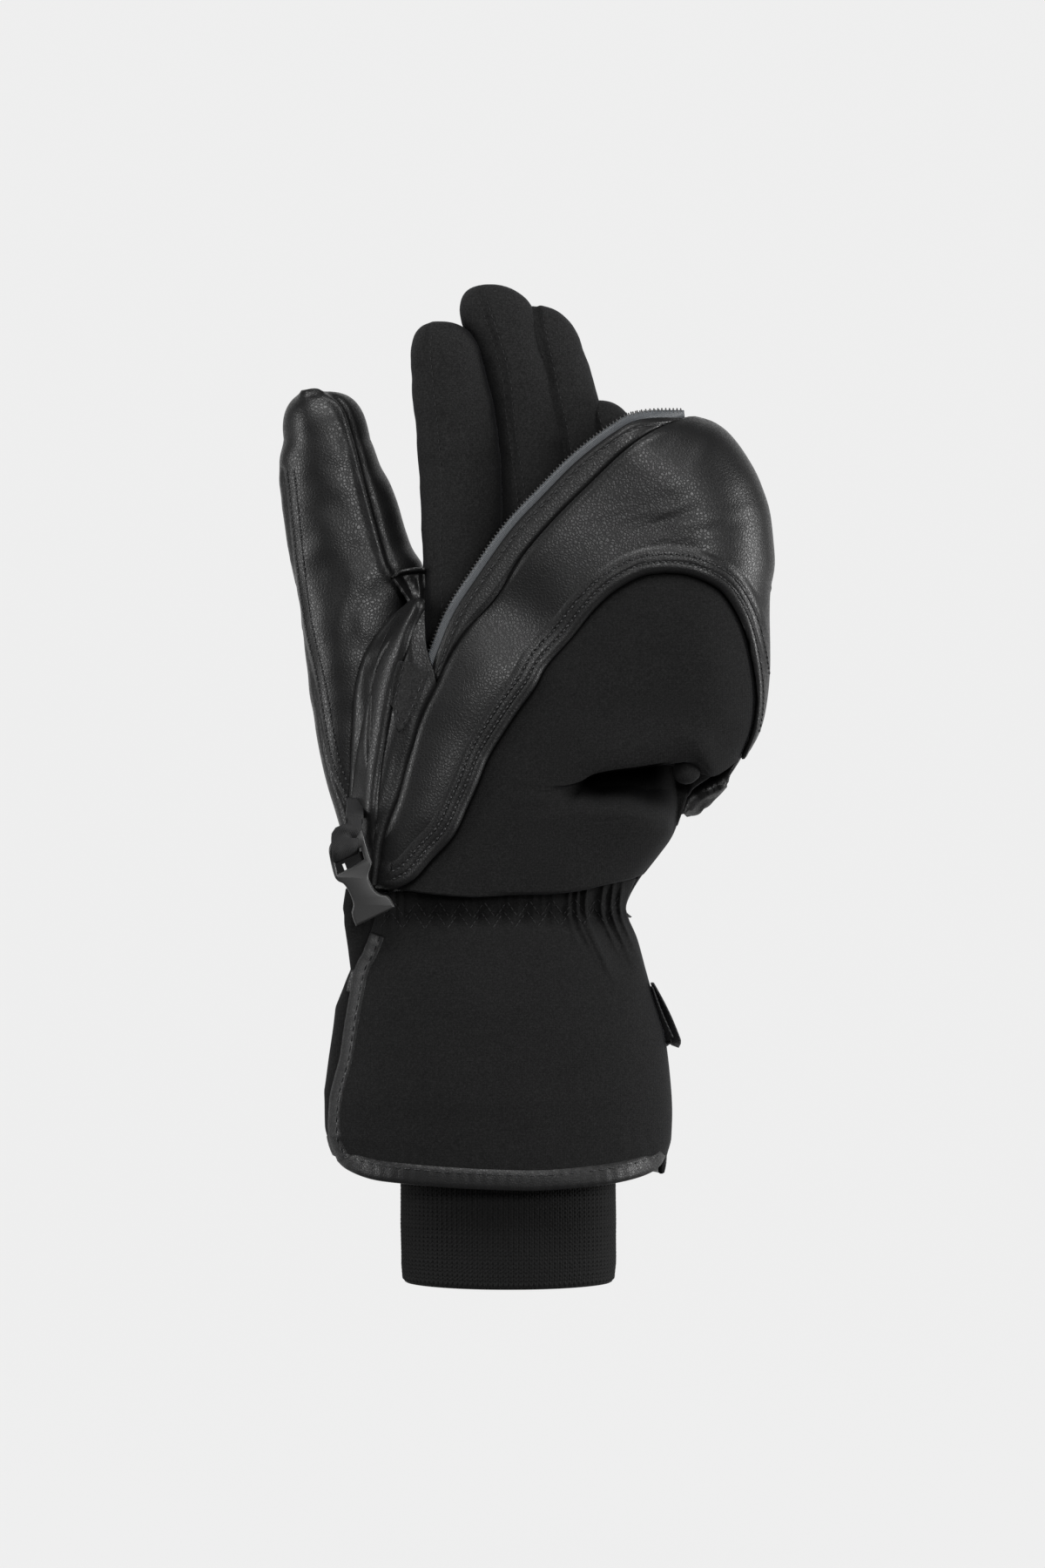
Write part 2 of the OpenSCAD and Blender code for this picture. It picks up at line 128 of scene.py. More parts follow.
def bumps(p, size, seed=0.0, octaves=2):
    """Smooth noise from -1 to 1 at points p; size is one wavelength, or one for each axis."""
    flat = (p.reshape(-1, p.shape[-1]) / np.asarray(size, float))
    if flat.shape[1] == 2:
        flat = np.insert(flat, 1, 0, axis=1)
    out = np.zeros(len(flat))
    for k in range(octaves):
        f, w = 2.0**k, 0.5**k
        out += w * np.array([noise.noise(Vector((x * f + seed, y * f - seed, z * f + 7 * k)))
                             for x, y, z in flat])
    return out.reshape(p.shape[:-1])


def patch(bottom, top, left, right, nu, nv):
    """Grid in X and Z filled between four smooth edges."""
    u, v = np.linspace(0, 1, nu), np.linspace(0, 1, nv)
    b, t = spline(bottom, nu)[:, None], spline(top, nu)[:, None]
    l, r = spline(left, nv)[None], spline(right, nv)[None]
    uu, vv = u[:, None, None], v[None, :, None]
    corners = ((1 - uu) * (1 - vv) * b[0, 0] + uu * (1 - vv) * b[-1, 0]
               + (1 - uu) * vv * t[0, 0] + uu * vv * t[-1, 0])
    return (1 - vv) * b + vv * t + (1 - uu) * l + uu * r - corners


def between(one, two, nu, nv, even=False):
    """Grid in X and Z between two edges, given by matching points: u runs along them, v across."""
    u = np.linspace(0, 1, nu)
    a = spline(one, nu) if even else curve_at(one, u)
    b = spline(two, nu) if even else curve_at(two, u)
    v = np.linspace(0, 1, nv)[None, :, None]
    return a[:, None] * (1 - v) + b[:, None] * v


# ---------------------------------------------------------------- meshes

def add_object(name, data):
    obj = bpy.data.objects.new(name, data)
    bpy.context.scene.collection.objects.link(obj)
    return obj


def mesh_piece(name, verts, faces, material, slot):
    """A Blender piece from points in millimetres."""
    data = bpy.data.meshes.new(name)
    data.from_pydata((np.asarray(verts, float) * MM).tolist(), [], [list(f) for f in faces])
    data.validate()
    data.update()
    data.polygons.foreach_set("use_smooth", [True] * len(data.polygons))
    obj = add_object(name, data)
    data.materials.append(material)
    return obj


def grid_normals(p, wrap=False):
    du = np.roll(p, -1, 0) - np.roll(p, 1, 0) if wrap else np.gradient(p, axis=0)
    return unit(np.cross(du, np.gradient(p, axis=1)))


def shell(name, p, t, material, slot, flip=False, wrap=False, cap=False):
    """A closed sheet t thick. p[u, v] is its outer face, whose normal is du x dv, or the other way if flip."""
    inner = p - t * grid_normals(p, wrap) * (-1 if flip else 1)
    nu, nv = p.shape[:2]
    verts = [p.reshape(-1, 3), inner.reshape(-1, 3)]
    off, count = nu * nv, 2 * nu * nv
    faces = []

    def add(f, back=False):
        faces.append(f[::-1] if bool(flip) != back else f)

    for i in range(nu if wrap else nu - 1):
        i2 = (i + 1) % nu
        for j in range(nv - 1):
            a, b, c, d = i * nv + j, i2 * nv + j, i2 * nv + j + 1, i * nv + j + 1
            add([a, b, c, d])
            add([off + d, off + c, off + b, off + a])

    def close(ids, out, back, loop=False):
        """Round an edge through one row of points half way through the cloth."""
        nonlocal count
        verts.append((verts[0][ids] + verts[1][ids]) / 2 + 0.4 * t * unit(out))
        for k in range(len(ids) if loop else len(ids) - 1):
            k2 = (k + 1) % len(ids)
            add([ids[k2], ids[k], count + k, count + k2], back)
            add([count + k2, count + k, off + ids[k], off + ids[k2]], back)
        count += len(ids)

    close([i * nv for i in range(nu)], p[:, 0] - p[:, 1], False, wrap)
    head = [i * nv + nv - 1 for i in range(nu)]
    if cap:
        verts.append(np.array([p[:, -1].mean(0), inner[:, -1].mean(0)]))
        for i in range(nu):
            i2 = (i + 1) % nu
            add([head[i], head[i2], count])
            add([off + head[i2], off + head[i], count + 1])
        count += 2
    else:
        close(head, p[:, -1] - p[:, -2], True, wrap)
    if not wrap:
        close(list(range(nv)), p[0] - p[1], True)
        close([(nu - 1) * nv + j for j in range(nv)], p[-1] - p[-2], False)
    obj = mesh_piece(name, np.vstack(verts), faces, material, slot)
    mend(obj)
    return obj


def mend(obj):
    """Fill the small corner gaps that meeting rims leave."""
    bm = bmesh.new()
    bm.from_mesh(obj.data)
    edges = [e for e in bm.edges if e.is_boundary]
    if edges:
        bmesh.ops.holes_fill(bm, edges=edges, sides=8)
    for f in bm.faces:
        f.smooth = True
    bm.to_mesh(obj.data)
    bm.free()


def tube_faces(n, m, inside_out=False):
    """Faces between n rings of m points each, with flat ends."""
    faces = [[i * m + k, i * m + (k + 1) % m, (i + 1) * m + (k + 1) % m, (i + 1) * m + k]
             for i in range(n - 1) for k in range(m)]
    faces += [list(range(m))[::-1], [(n - 1) * m + k for k in range(m)]]
    return [f[:1] + f[:0:-1] for f in faces] if inside_out else faces


def sweep(path, profile, up):
    """Points and faces of a profile (along side, along up) carried along a path, with flat ends."""
    t = tangents(path)
    side = unit(np.cross(t, np.broadcast_to(np.asarray(up, float), path.shape)))
    over = np.cross(side, t)
    prof = np.asarray(profile, float)
    if prof.ndim == 2:
        prof = np.broadcast_to(prof, (len(path), *prof.shape))
    pts = path[:, None] + prof[:, :, :1] * side[:, None] + prof[:, :, 1:] * over[:, None]
    return pts.reshape(-1, 3), tube_faces(len(path), prof.shape[1])


def ring(r, sides=8, squash=1.0):
    a = np.linspace(0, 2 * np.pi, sides, endpoint=False)
    return np.stack([r * np.cos(a), squash * r * np.sin(a)], 1)


def joined(parts):
    """One list of points and faces from several."""
    verts, faces, off = [], [], 0
    for v, f in parts:
        verts.append(v)
        faces += [[k + off for k in g] for g in f]
        off += len(v)
    return np.vstack(verts), faces


def tree_of(*objs):
    verts, faces, off = [], [], 0
    for o in objs:
        verts += [v.co / MM for v in o.data.vertices]
        faces += [[k + off for k in f.vertices] for f in o.data.polygons]
        off = len(verts)
    return BVHTree.FromPolygons(verts, faces)


def needle_hole_shade(points, normals, pitch, r, first):
    """Near-black discs level with the surface where the thread goes down: painted shade of the needle holes."""
    s = arc_length(points)
    parts = []
    for a in np.arange(first, s[-1] - 0.5, pitch):
        p, n = read_at(a, s, points), unit(read_at(a, s, normals))
        if abs(n[1]) < 0.3:
            continue
        path = np.array([p - 0.25 * n, p + 0.02 * n, p + 0.05 * n])
        size = np.array([1.0, 1.0, 0.55]) * r
        up = unit(np.cross(n, [0, 1, 0.3]))
        parts.append(sweep(path, ring(1.0, 8)[None] * size[:, None, None], up))
    return joined(parts)


def laid_on(tree, path_xz, side=-1):
    """Points and normals where a line drawn in X and Z lands on a surface, from the back (-1) or the palm (1)."""
    pts, nrm = [], []
    for x, z in path_xz:
        hit, n, _, _ = tree.ray_cast(Vector((x, side * 200, z)), Vector((0, -side, 0)))
        if hit is None:
            continue
        n = Vector(n)
        pts.append(hit)
        nrm.append(-n if n.y * side < 0 else n)
    return np.array(pts), np.array(nrm)


def stitch_row(points, normals, long=2.5, gap=1.0, r=0.27):
    """Separate thread stitches along a line on a surface: each rises from its hole, runs and sinks again."""
    s = arc_length(points)
    arch = np.array([-0.9, -0.1, 0.35, 0.45, 0.35, -0.1, -0.9]) * r
    size = np.array([0.45, 0.9, 1, 1, 1, 0.9, 0.45])
    parts = []
    for a in np.arange(0.3, s[-1] - long, long + gap):
        at = np.linspace(a, a + long, 7)
        n = unit(read_at(at, s, normals))
        if np.abs(n[:, 1]).min() < 0.2:
            continue
        path = read_at(at, s, points) + arch[:, None] * n
        parts.append(sweep(path, ring(r, 6)[None] * size[:, None, None], n))
    return joined(parts) if parts else None


# ---------------------------------------------------------------- materials

class Look:
    """A material under construction, whose textures lie in the piece's own millimetres."""

    def __init__(self, name, **sockets):
        self.material = bpy.data.materials.new(name)
        self.material.use_nodes = True
        self.nodes, self.links = self.material.node_tree.nodes, self.material.node_tree.links
        self.bsdf = self.nodes["Principled BSDF"]
        for key, value in sockets.items():
            self.bsdf.inputs[key.replace("_", " ")].default_value = value
        coord = self.nodes.new("ShaderNodeTexCoord")
        scale = self.nodes.new("ShaderNodeMapping")
        scale.inputs["Scale"].default_value = (1000, 1000, 1000)
        self.links.new(coord.outputs["Object"], scale.inputs["Vector"])
        self.mm = scale.outputs["Vector"]

    def node(self, kind, **values):
        n = self.nodes.new("ShaderNode" + kind)
        for key, value in values.items():
            if key in n.inputs:
                n.inputs[key].default_value = value
            else:
                setattr(n, key, value)
        return n

    def texture(self, kind, vector=None, **values):
        n = self.node("Tex" + kind, **values)
        self.links.new(self.mm if vector is None else vector, n.inputs["Vector"])
        return n.outputs

    def ramp(self, source, *stops):
        """Colours or plain numbers, each from its place on the ramp."""
        r = self.nodes.new("ShaderNodeValToRGB")
        e = r.color_ramp.elements
        while len(e) < len(stops):
            e.new(0.5)
        for k, (at, c) in enumerate(stops):
            e[k].position = at
            e[k].color = (*(c if isinstance(c, tuple) else (c,) * 3), 1)
        self.links.new(source, r.inputs["Fac"])
        return r.outputs["Color"]

    def mix(self, kind, amount, one, two):
        m = self.node("MixRGB", blend_type=kind, Fac=amount)
        self.links.new(one, m.inputs["Color1"])
        self.links.new(two, m.inputs["Color2"])
        return m.outputs["Color"]

    def combined(self, kind, one, two):
        m = self.node("Math", operation=kind)
        self.links.new(one, m.inputs[0])
        self.links.new(two, m.inputs[1])
        return m.outputs[0]

    def bump(self, height, strength, depth, before=None):
        b = self.node("Bump", Strength=strength, Distance=depth * MM)
        self.links.new(height, b.inputs["Height"])
        if before is not None:
            self.links.new(before, b.inputs["Normal"])
        return b.outputs["Normal"]

    def feed(self, **sockets):
        """Link outputs to the shader's sockets, and return the finished material."""
        for key, output in sockets.items():
            self.links.new(output, self.bsdf.inputs[key.replace("_", " ")])
        return self.material


def leather(name, tone, rough, grain=1.0):
    """Goat leather: small glossy pebbles with duller valleys between them."""
    look = Look(name)
    warp = look.texture("Noise", Scale=0.9, Detail=2.0)
    bent = look.mix("ADD", 0.55, look.mm, warp["Color"])
    cells = look.texture("Voronoi", bent, feature="DISTANCE_TO_EDGE", Scale=0.95 / grain)
    pebble = look.ramp(cells["Distance"], (0.0, 0.0), (0.26, 1.0))
    pores = look.texture("Noise", Scale=5.0, Detail=3.0)["Fac"]
    broad = look.texture("Noise", Scale=0.05, Detail=3.0)["Fac"]
    colour = look.ramp(broad, (0.3, (tone * 0.8, tone * 0.8, tone * 0.83)),
                       (0.7, (tone * 1.2, tone * 1.2, tone * 1.24)))
    return look.feed(Base_Color=look.mix("MULTIPLY", 0.3, colour, pebble),
                     Roughness=look.ramp(pebble, (0.0, rough + 0.16), (1.0, rough)),
                     Specular_IOR_Level=look.ramp(pebble, (0.0, 0.3), (1.0, 0.44)),
                     Normal=look.bump(pores, 0.12, 0.08, look.bump(pebble, 0.4, 0.08)))


def softshell(name, tone, folded=False):
    """Dense plain-woven stretch cloth: a fine mesh of threads with a soft, flecked face; painted shade darkens
    its creases, and the fold's bottom if folded.
    """
    sheen, gloss = 0.05, 0.1
    look = Look(name, Roughness=0.8, Sheen_Weight=sheen, Sheen_Roughness=0.5, Sheen_Tint=(0.55, 0.56, 0.6, 1),
                Specular_IOR_Level=gloss)
    warp, weft = (look.texture("Wave", wave_type="BANDS", bands_direction=way, Scale=0.62, Distortion=0.6,
                               Detail=1.0)["Fac"] for way in "XZ")
    fleck = look.texture("Noise", Scale=1.7, Detail=4.0, Roughness=0.75)["Fac"]
    colour = look.ramp(fleck, (0.33, tone * 0.45), (0.5, tone), (0.67, tone * 1.9))
    # painted shade: the colour darkens where nearby surfaces hem the cloth in, in creases, seams and recesses
    near = look.node("AmbientOcclusion", samples=6, Distance=0.022).outputs["AO"]
    colour = look.mix("MULTIPLY", 0.9, colour, look.ramp(near, (0.4, 0.1), (0.93, 1.0)))
    if folded:
        # painted shade: little light reaches the bottom of the fold, so its colour, sheen and gloss are darkened
        # by a mask stored on the mesh, 1 down there and 0 outside
        painted_fold_shade = look.node("Attribute", attribute_name="painted_fold_shade").outputs["Fac"]
        colour = look.mix("MULTIPLY", 1.0, colour, look.ramp(painted_fold_shade, (0.0, 1.0), (1.0, 0.12)))
        look.feed(Sheen_Weight=look.ramp(painted_fold_shade, (0.0, sheen), (1.0, 0.0)),
                  Specular_IOR_Level=look.ramp(painted_fold_shade, (0.0, gloss), (1.0, 0.0)))
    height = look.combined("ADD", look.combined("MULTIPLY", warp, weft), fleck)
    return look.feed(Base_Color=colour, Normal=look.bump(height, 0.5, 0.12))


def fibrous(name, scale, detail, top, bumpiness, **sockets):
    """Black yarn or pile."""
    look = Look(name, **sockets)
    fibre = look.texture("Noise", Scale=scale, Detail=detail[0], Roughness=detail[1])["Fac"]
    return look.feed(Base_Color=look.ramp(fibre, (0.3, 0.005), (0.7, top)), Normal=look.bump(fibre, *bumpiness))


def taped(name, tone, rough):
    """Narrow woven tape or thread."""
    look = Look(name, Roughness=rough)
    weave = look.texture("Wave", wave_type="BANDS", bands_direction="DIAGONAL", Scale=0.9, Distortion=0.4)["Fac"]
    colour = look.ramp(weave, (0.0, tuple(0.7 * c for c in tone)), (1.0, tuple(1.15 * c for c in tone)))
    return look.feed(Base_Color=colour, Normal=look.bump(weave, 0.5, 0.12))


def moulded(name, tone=0.02, rough=0.36, metallic=0.0):
    """Plastic or lacquered metal with a slightly uneven skin."""
    look = Look(name, Metallic=metallic)
    speck = look.texture("Noise", Scale=3.0, Detail=4.0)["Fac"]
    return look.feed(Base_Color=look.ramp(speck, (0.3, tone * 0.85), (0.7, tone * 1.2)),
                     Roughness=look.ramp(speck, (0.3, rough - 0.05), (0.7, rough + 0.08)),
                     Normal=look.bump(speck, 0.25, 0.05))


LEATHER = leather("leather_goat", tone=0.0052, rough=0.33)
LEATHER_BIND = leather("leather_binding", tone=0.008, rough=0.38, grain=0.8)
SHELL = softshell("softshell_woven", tone=0.0084)
# cloth of the back's fold, with painted shade at the bottom of the fold
SHELL_FOLD_SHADE = softshell("softshell_fold_shade", tone=0.0084, folded=True)
FINGER = softshell("softshell_stretch", tone=0.0126)
GARAGE = softshell("garage_cloth", tone=0.02)
# painted shade: near-black for the inside of the needle holes
HOLE_SHADE = taped("stitch_hole", (0.0008, 0.0008, 0.0009), 0.95)
KNIT = fibrous("rib_knit", 4.5, (3.0, 0.5), 0.014, (0.4, 0.1), Roughness=0.75, Specular_IOR_Level=0.15,
               Sheen_Weight=0.03, Sheen_Roughness=0.4)
FLEECE = fibrous("fleece_brushed", 1.6, (5.0, 0.75), 0.018, (0.9, 0.6), Roughness=0.95, Sheen_Weight=0.06,
                 Sheen_Roughness=0.6)
TAPE = taped("zip_tape_grey", (0.06, 0.066, 0.073), 0.4)
TAPE_PALE = taped("zip_tape_pale", (0.16, 0.17, 0.18), 0.4)
COIL = moulded("zip_coil_nylon", tone=0.03, rough=0.3)
THREAD = taped("thread_black", (0.016, 0.016, 0.017), 0.45)
THREAD_DULL = taped("thread_dull", (0.0065, 0.0065, 0.007), 0.75)
WEBBING = taped("webbing_black", (0.0045, 0.0045, 0.005), 0.75)
RIBBON = taped("ribbon_black", (0.009, 0.009, 0.01), 0.65)
PLASTIC = moulded("clip_acetal")
METAL = moulded("zip_metal_lacquered", tone=0.02, rough=0.32, metallic=0.7)
FILM = moulded("membrane_film", tone=0.012, rough=0.6)
ELASTIC = taped("elastic_black", (0.012, 0.012, 0.013), 0.7)


# ---------------------------------------------------------------- placing pieces and their thread

def on_hood_line(obj):
    """Cloth that runs from the hand over the fold into the hood: its placement is baked into its mesh."""
    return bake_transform(obj)


def thread(name, rows, move, dull=False):
    """One piece of thread from several stitched rows."""
    stitches = joined([r for r in rows if r is not None])
    return move(mesh_piece(name, *stitches, THREAD_DULL if dull else THREAD, "webbing"))


def row_on(tree, line, side=-1, **kind):
    """A row of stitches along a line drawn in X and Z."""
    return stitch_row(*laid_on(tree, line, side), **kind)



# ---------------------------------------------------------------- outlines, X and Z

# seam between the leather and the back cloth, from the wrist over the top and down the right
SEAM_UP = [(-41, 128.6), (-36.7, 128), (-30.9, 130.8), (-25.2, 137.2), (-18.2, 145), (-13.8, 154.3),
           (-10.9, 160.7), (-7.4, 169.4), (-2.4, 177.8), (2.5, 185.1), (7.6, 192.1), (11.2, 198.5),
           (19, 207.2), (26.2, 216.4), (33.3, 223), (42, 227.6), (49.6, 228.8)]
SEAM_DOWN = [(49.6, 228.8), (57.7, 227.9), (66.9, 223.8), (72, 217.6), (75.7, 209.4), (78.1, 199.4),
             (79.2, 190.1), (78.8, 182), (77.3, 175.8), (74.6, 169.4)]
# right silhouette, from the wrist up over the hood's tip
RIGHT = [(38.2, 112), (37.9, 122), (42, 129.9), (48.7, 138.3), (52.6, 143.9), (55.2, 150.5), (61, 157),
         (69.4, 161.5), (75.7, 170.8), (80.4, 180.6), (82.6, 195.7), (82.6, 215), (82.9, 223.2),
         (84.2, 230.7), (83.7, 239.4), (82.6, 248.1), (80.4, 255.1), (77.6, 261.5), (72.5, 269.4),
         (67.6, 274.4), (61.9, 276.9), (57, 279.5)]
LEFT = [(-44, 100), (-49, 118), (-53, 135), (-53, 150), (-51, 165), (-50.5, 181), (-46.5, 196),
        (-42, 209), (-34, 221)]
# outer edge of the hood's zip facing and the seam inside it
ZIP_EDGE = [(-24.6, 196.5), (-21.4, 205.2), (-17, 215.4), (-9.2, 227.4), (0.8, 241.4), (11.4, 252.8),
            (22, 263.4), (33.8, 272.4), (42, 276.4), (56.5, 277.8)]
STRIP_SEAM = [(-21.6, 193.5), (-17.4, 202.2), (-11.8, 211.2), (-4.5, 219.5), (5.4, 233.3), (15.9, 245.3),
              (26.6, 256), (36.5, 265.4), (46, 272.3), (56.5, 276.9)]
# the same seam, carried on down to the wrist
STRIP_LOW = [(-42.3, 128.5), (-41.2, 134), (-40.3, 140.8), (-38.1, 147.8), (-34.4, 157.1), (-30.9, 170),
             (-27.4, 182.1), (-21.6, 193.5)]
# left edge of the leather beside the index finger, where it rolls under
ROLL = [(-48.5, 128), (-49.6, 140), (-50, 150), (-49.6, 162), (-49.1, 172), (-48.6, 181), (-48, 190),
        (-45.8, 199.5), (-42, 207.3), (-36.5, 213.6), (-30.8, 218.4)]
# crests of the two rolls of leather there
CREST_IN = [(-45, 130), (-45.8, 142), (-45.6, 155), (-43.6, 170), (-41.3, 183), (-39.2, 193.5), (-36.4, 203),
            (-33.4, 210.8), (-29.8, 217.2)]
CREST_OUT = [(-47.2, 165), (-46.6, 175), (-46.2, 184), (-45.5, 192), (-43.2, 200), (-38.6, 208.5)]

RIGHT_LINE = spline(RIGHT, 160)
LEFT_LINE = spline(LEFT, 60)
SEAM_LINE = np.vstack([spline(SEAM_UP, 90), spline(SEAM_DOWN, 60)])
DEPTH = 20.0        # half depth of the glove
ROUND_RIGHT = 25.0  # how far from the silhouette the surface turns in
ROUND_LEFT = 20.0


def half_depth(q, d_left=True):
    """Distance of the glove's outer surface from its middle plane, at points in X and Z."""
    kr = np.clip(distance(q, RIGHT_LINE) / ROUND_RIGHT, 0.002, 1)
    d = np.sqrt(1 - (1 - kr) ** 2)
    if d_left:
        kl = np.clip(distance(q, LEFT_LINE) / ROUND_LEFT, 0.02, 1)
        d = d * np.sqrt(1 - (1 - kl) ** 2)
    return DEPTH * d


FOLD_LIP = [(-9.2, 165), (0, 162.5), (9, 160.6), (17, 160), (22.5, 161.2), (27, 163.6), (33, 164.9), (40, 165.8),
            (48, 167), (55, 168), (59.4, 168.2), (62.5, 166), (65.4, 163.4), (70, 165.6), (74.6, 169.4)]
FOLD_FOOT = [(-9.2, 165), (0, 162.5), (9, 160.6), (17, 160), (22.5, 161.4), (27, 163), (32, 164.4), (38, 165.6),
             (44, 166.4), (49, 166.6), (53, 165.8), (55.5, 164), (57, 161.5), (57.6, 159.5), (57.8, 158)]


def back_surface(q):
    """Back of the glove at points in X and Z, with its broad wrinkles."""
    y = half_depth(q)
    return y + 0.55 * bumps(q, (34, 26), 3.1) * smooth(2, 14, y)


def edge_roll(q, lines, sink, width):
    """How far the surface dips next to seams."""
    out = np.zeros(q.shape[:-1])
    for line in lines:
        out = np.maximum(out, sink * bell(distance(q, line), width))
    return out


def to3(q, y):
    return np.stack([q[..., 0], y, q[..., 1]], -1)


# ---------------------------------------------------------------- back cloth

def cloth_depth(q):
    """Outer face of the back cloth: fuller than the leather, and sunk along the seams."""
    y = back_surface(q)
    y += 1.5 * smooth(0, 16, distance(q, SEAM_LINE)) * smooth(0, 10, y)
    return y - edge_roll(q, [SEAM_LINE], 1.5, 1.3)


def make_back_cloth():
    cols, low_rows, up_rows, wall_rows = 170, 74, 96, 22
    start = (-9.2, 165)  # where the fold begins, on the seam
    wrist = [(-36.7, 128), (-27, 126.4), (-16, 125.3), (-1.7, 124.6), (9.8, 124.4), (20.7, 125.2), (30.2, 127.2),
             (38.6, 128.9), (42, 129.9)]
    right_low = [(42, 129.9), (48.7, 138.3), (52.6, 143.9), (55.2, 150.5), (57.8, 158)]
    low = patch(wrist, FOLD_FOOT, SEAM_UP[1:7] + [start], right_low, cols, low_rows)
    lip = spline(FOLD_LIP, cols)
    # the fold's foot: on the lip where the fold begins, then drawn in under it
    fx = np.where(lip[:, 0] < 24, lip[:, 0], 24 + (lip[:, 0] - 24) * (57.8 - 24) / (lip[-1, 0] - 24))
    under = spline(FOLD_FOOT, 300)
    own = np.interp(fx, lip[:, 0], lip[:, 1])
    fz = own + (np.interp(fx, under[:, 0], under[:, 1]) - own) * smooth(24, 34, fx)
    low += (np.stack([fx, fz], 1) - low[:, -1])[:, None] * (np.linspace(0, 1, low_rows) ** 1.5)[None, :, None]
    # the upper part: from the lip to the seam over the top, rows running as rays between them
    crown = (50.5, 228.8)
    top = np.vstack([spline([start] + SEAM_UP[7:-1] + [crown], cols - 60)[:-1],
                     spline([crown] + SEAM_DOWN[1:], 61)])
    k = (np.linspace(0, 1, up_rows) ** 1.35)[None, :, None]
    up = lip[:, None] * (1 - k) + top[:, None] * k
    x = low[..., 0]
    # recess of the foot of the fold below the lip
    deep = 13.0 * smooth(13, 34, x[:, -1]) + 3.5 * smooth(40, 50, x[:, -1])
    y_low = cloth_depth(low)
    drop = low[:, -1:, 1] - low[..., 1]
    slope = 1 - smooth(0, 15.5, drop + 0.22 * np.maximum(44 - x, 0) - 1.5)
    shelf = 1 + 0.10 * np.sin(np.clip(drop / 15, 0, 1) * np.pi) * smooth(30, 46, x)
    y_low = y_low - deep[:, None] * slope * shelf * smooth(0, 7, y_low)
    floor = np.interp(x, [0, 20, 28, 36, 40, 44, 50, 54], [15.2, 14.9, 14.2, 12.3, 10.8, 8.6, 4.2, 0.4])
    y_low = np.where(drop < 26, np.maximum(y_low, np.minimum(floor, cloth_depth(low))), np.maximum(y_low, 0.4))
    fan = bell(drop - 6, 9) * smooth(-8, 14, x) * (1 - smooth(36, 52, x))
    y_low += 0.45 * fan * bumps(low, (24, 5), 9.4)
    near = 1 - smooth(0, 3.2, low[..., 1] - low[:, :1, 1])
    folded = smooth(19, 34, x[:, -1])[:, None]
    y_low -= 1.0 * near**2.4 * folded
    low[..., 1] += 1.2 * near**3 * folded
    y_up = cloth_depth(up)
    rise = np.linalg.norm(up - lip[:, None], axis=2)
    on = smooth(18, 34, lip[:, 0])[:, None]
    lift = 1.3 * bell(rise - 5, 6) - 0.5 * bell(rise, 0.9)
    y_up += lift * on * (1 - smooth(60, 72, up[..., 0]))
    low3, up3 = to3(low, -y_low), to3(up, -y_up)
    w = smooth(24, 38, lip[:, 0])[:, None]
    a, b = up3[:, 0], low3[:, -1]
    p1 = a + w * [0, 0.5, -1.7]
    p2 = b + w * [0, -4.5, 2.2]
    t = np.linspace(0, 1, wall_rows + 2)[1:-1][None, :, None]
    wall = ((1 - t) ** 3 * b[:, None] + 3 * (1 - t) ** 2 * t * p2[:, None] + 3 * (1 - t) * t**2 * p1[:, None]
            + t**3 * a[:, None])
    # where there is no fold the extra rows share out the last of the lower patch
    flat = low3[:, -2:-1] * (1 - t) + up3[:, 1:2] * t
    keep = smooth(15.5, 19, lip[:, 0])[:, None, None]
    wall = wall * keep + flat * (1 - keep)
    p = np.concatenate([low3[:, :-1], wall, up3[:, 1:]], axis=1)
    obj = shell("back_cloth", p, 1.3, SHELL_FOLD_SHADE, "softshell")
    # painted shade: a mask of the bottom of the fold, where little light reaches, by which the fold cloth's
    # material darkens
    hollow = np.zeros(p.shape[:2])
    down = 1 - smooth(2, 18, drop + 0.25 * np.maximum(26 - x, 0))
    hollow[:, :low_rows] = smooth(0.3, 7, cloth_depth(low) - y_low) * down * (1 - smooth(46, 55, x))
    hollow[:, low_rows:low_rows + wall_rows] = (keep * (1 - smooth(46, 55, lip[:, 0]))[:, None, None])[..., 0]
    painted_fold_shade = obj.data.attributes.new("painted_fold_shade", "FLOAT", "POINT")
    values = np.zeros(len(obj.data.vertices), np.float32)
    values[:2 * hollow.size] = np.tile(hollow.ravel(), 2)
    painted_fold_shade.data.foreach_set("value", values)
    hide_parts("back_panel", "hood_panel")
    return on_hood_line(obj)


def make_fold_tuck():
    """End of the cloth's fold, a soft roll that hangs from under the lip."""
    t = np.linspace(0, 1, 30)
    spine = curve_at([(60.5, -4, 170), (58.6, -8.5, 168.5), (57.2, -12, 166), (56.6, -13.4, 163.4),
                      (56.4, -13.6, 160.6)], t)
    size = np.sqrt(np.clip(1 - (np.clip(t - 0.62, 0, 1) / 0.38) ** 2, 0.004, 1))
    size *= 2.6 + 1.9 * smooth(0, 0.6, t)
    verts, faces = sweep(spine, ring(1.0, 28, 0.8)[None] * size[:, None, None], (0.3, -1, 0))
    verts = verts + 0.25 * bumps(verts, (4, 4, 6), 3.3)[:, None] * [0.6, 1, 0]
    return on_hood_line(mesh_piece("fold_tuck", verts, faces, SHELL, "softshell"))


# ---------------------------------------------------------------- hood leather

def leather_edges():
    """Matching inner (cloth seam) and outer edges of the hood's leather, from the wrist over the top."""
    inner = np.vstack([spline(SEAM_UP, 100), spline(SEAM_DOWN, 70)[1:]])
    return inner, spline(STRIP_LOW[:-1] + STRIP_SEAM + RIGHT[20:8:-1] + [(75.9, 171)], 169)


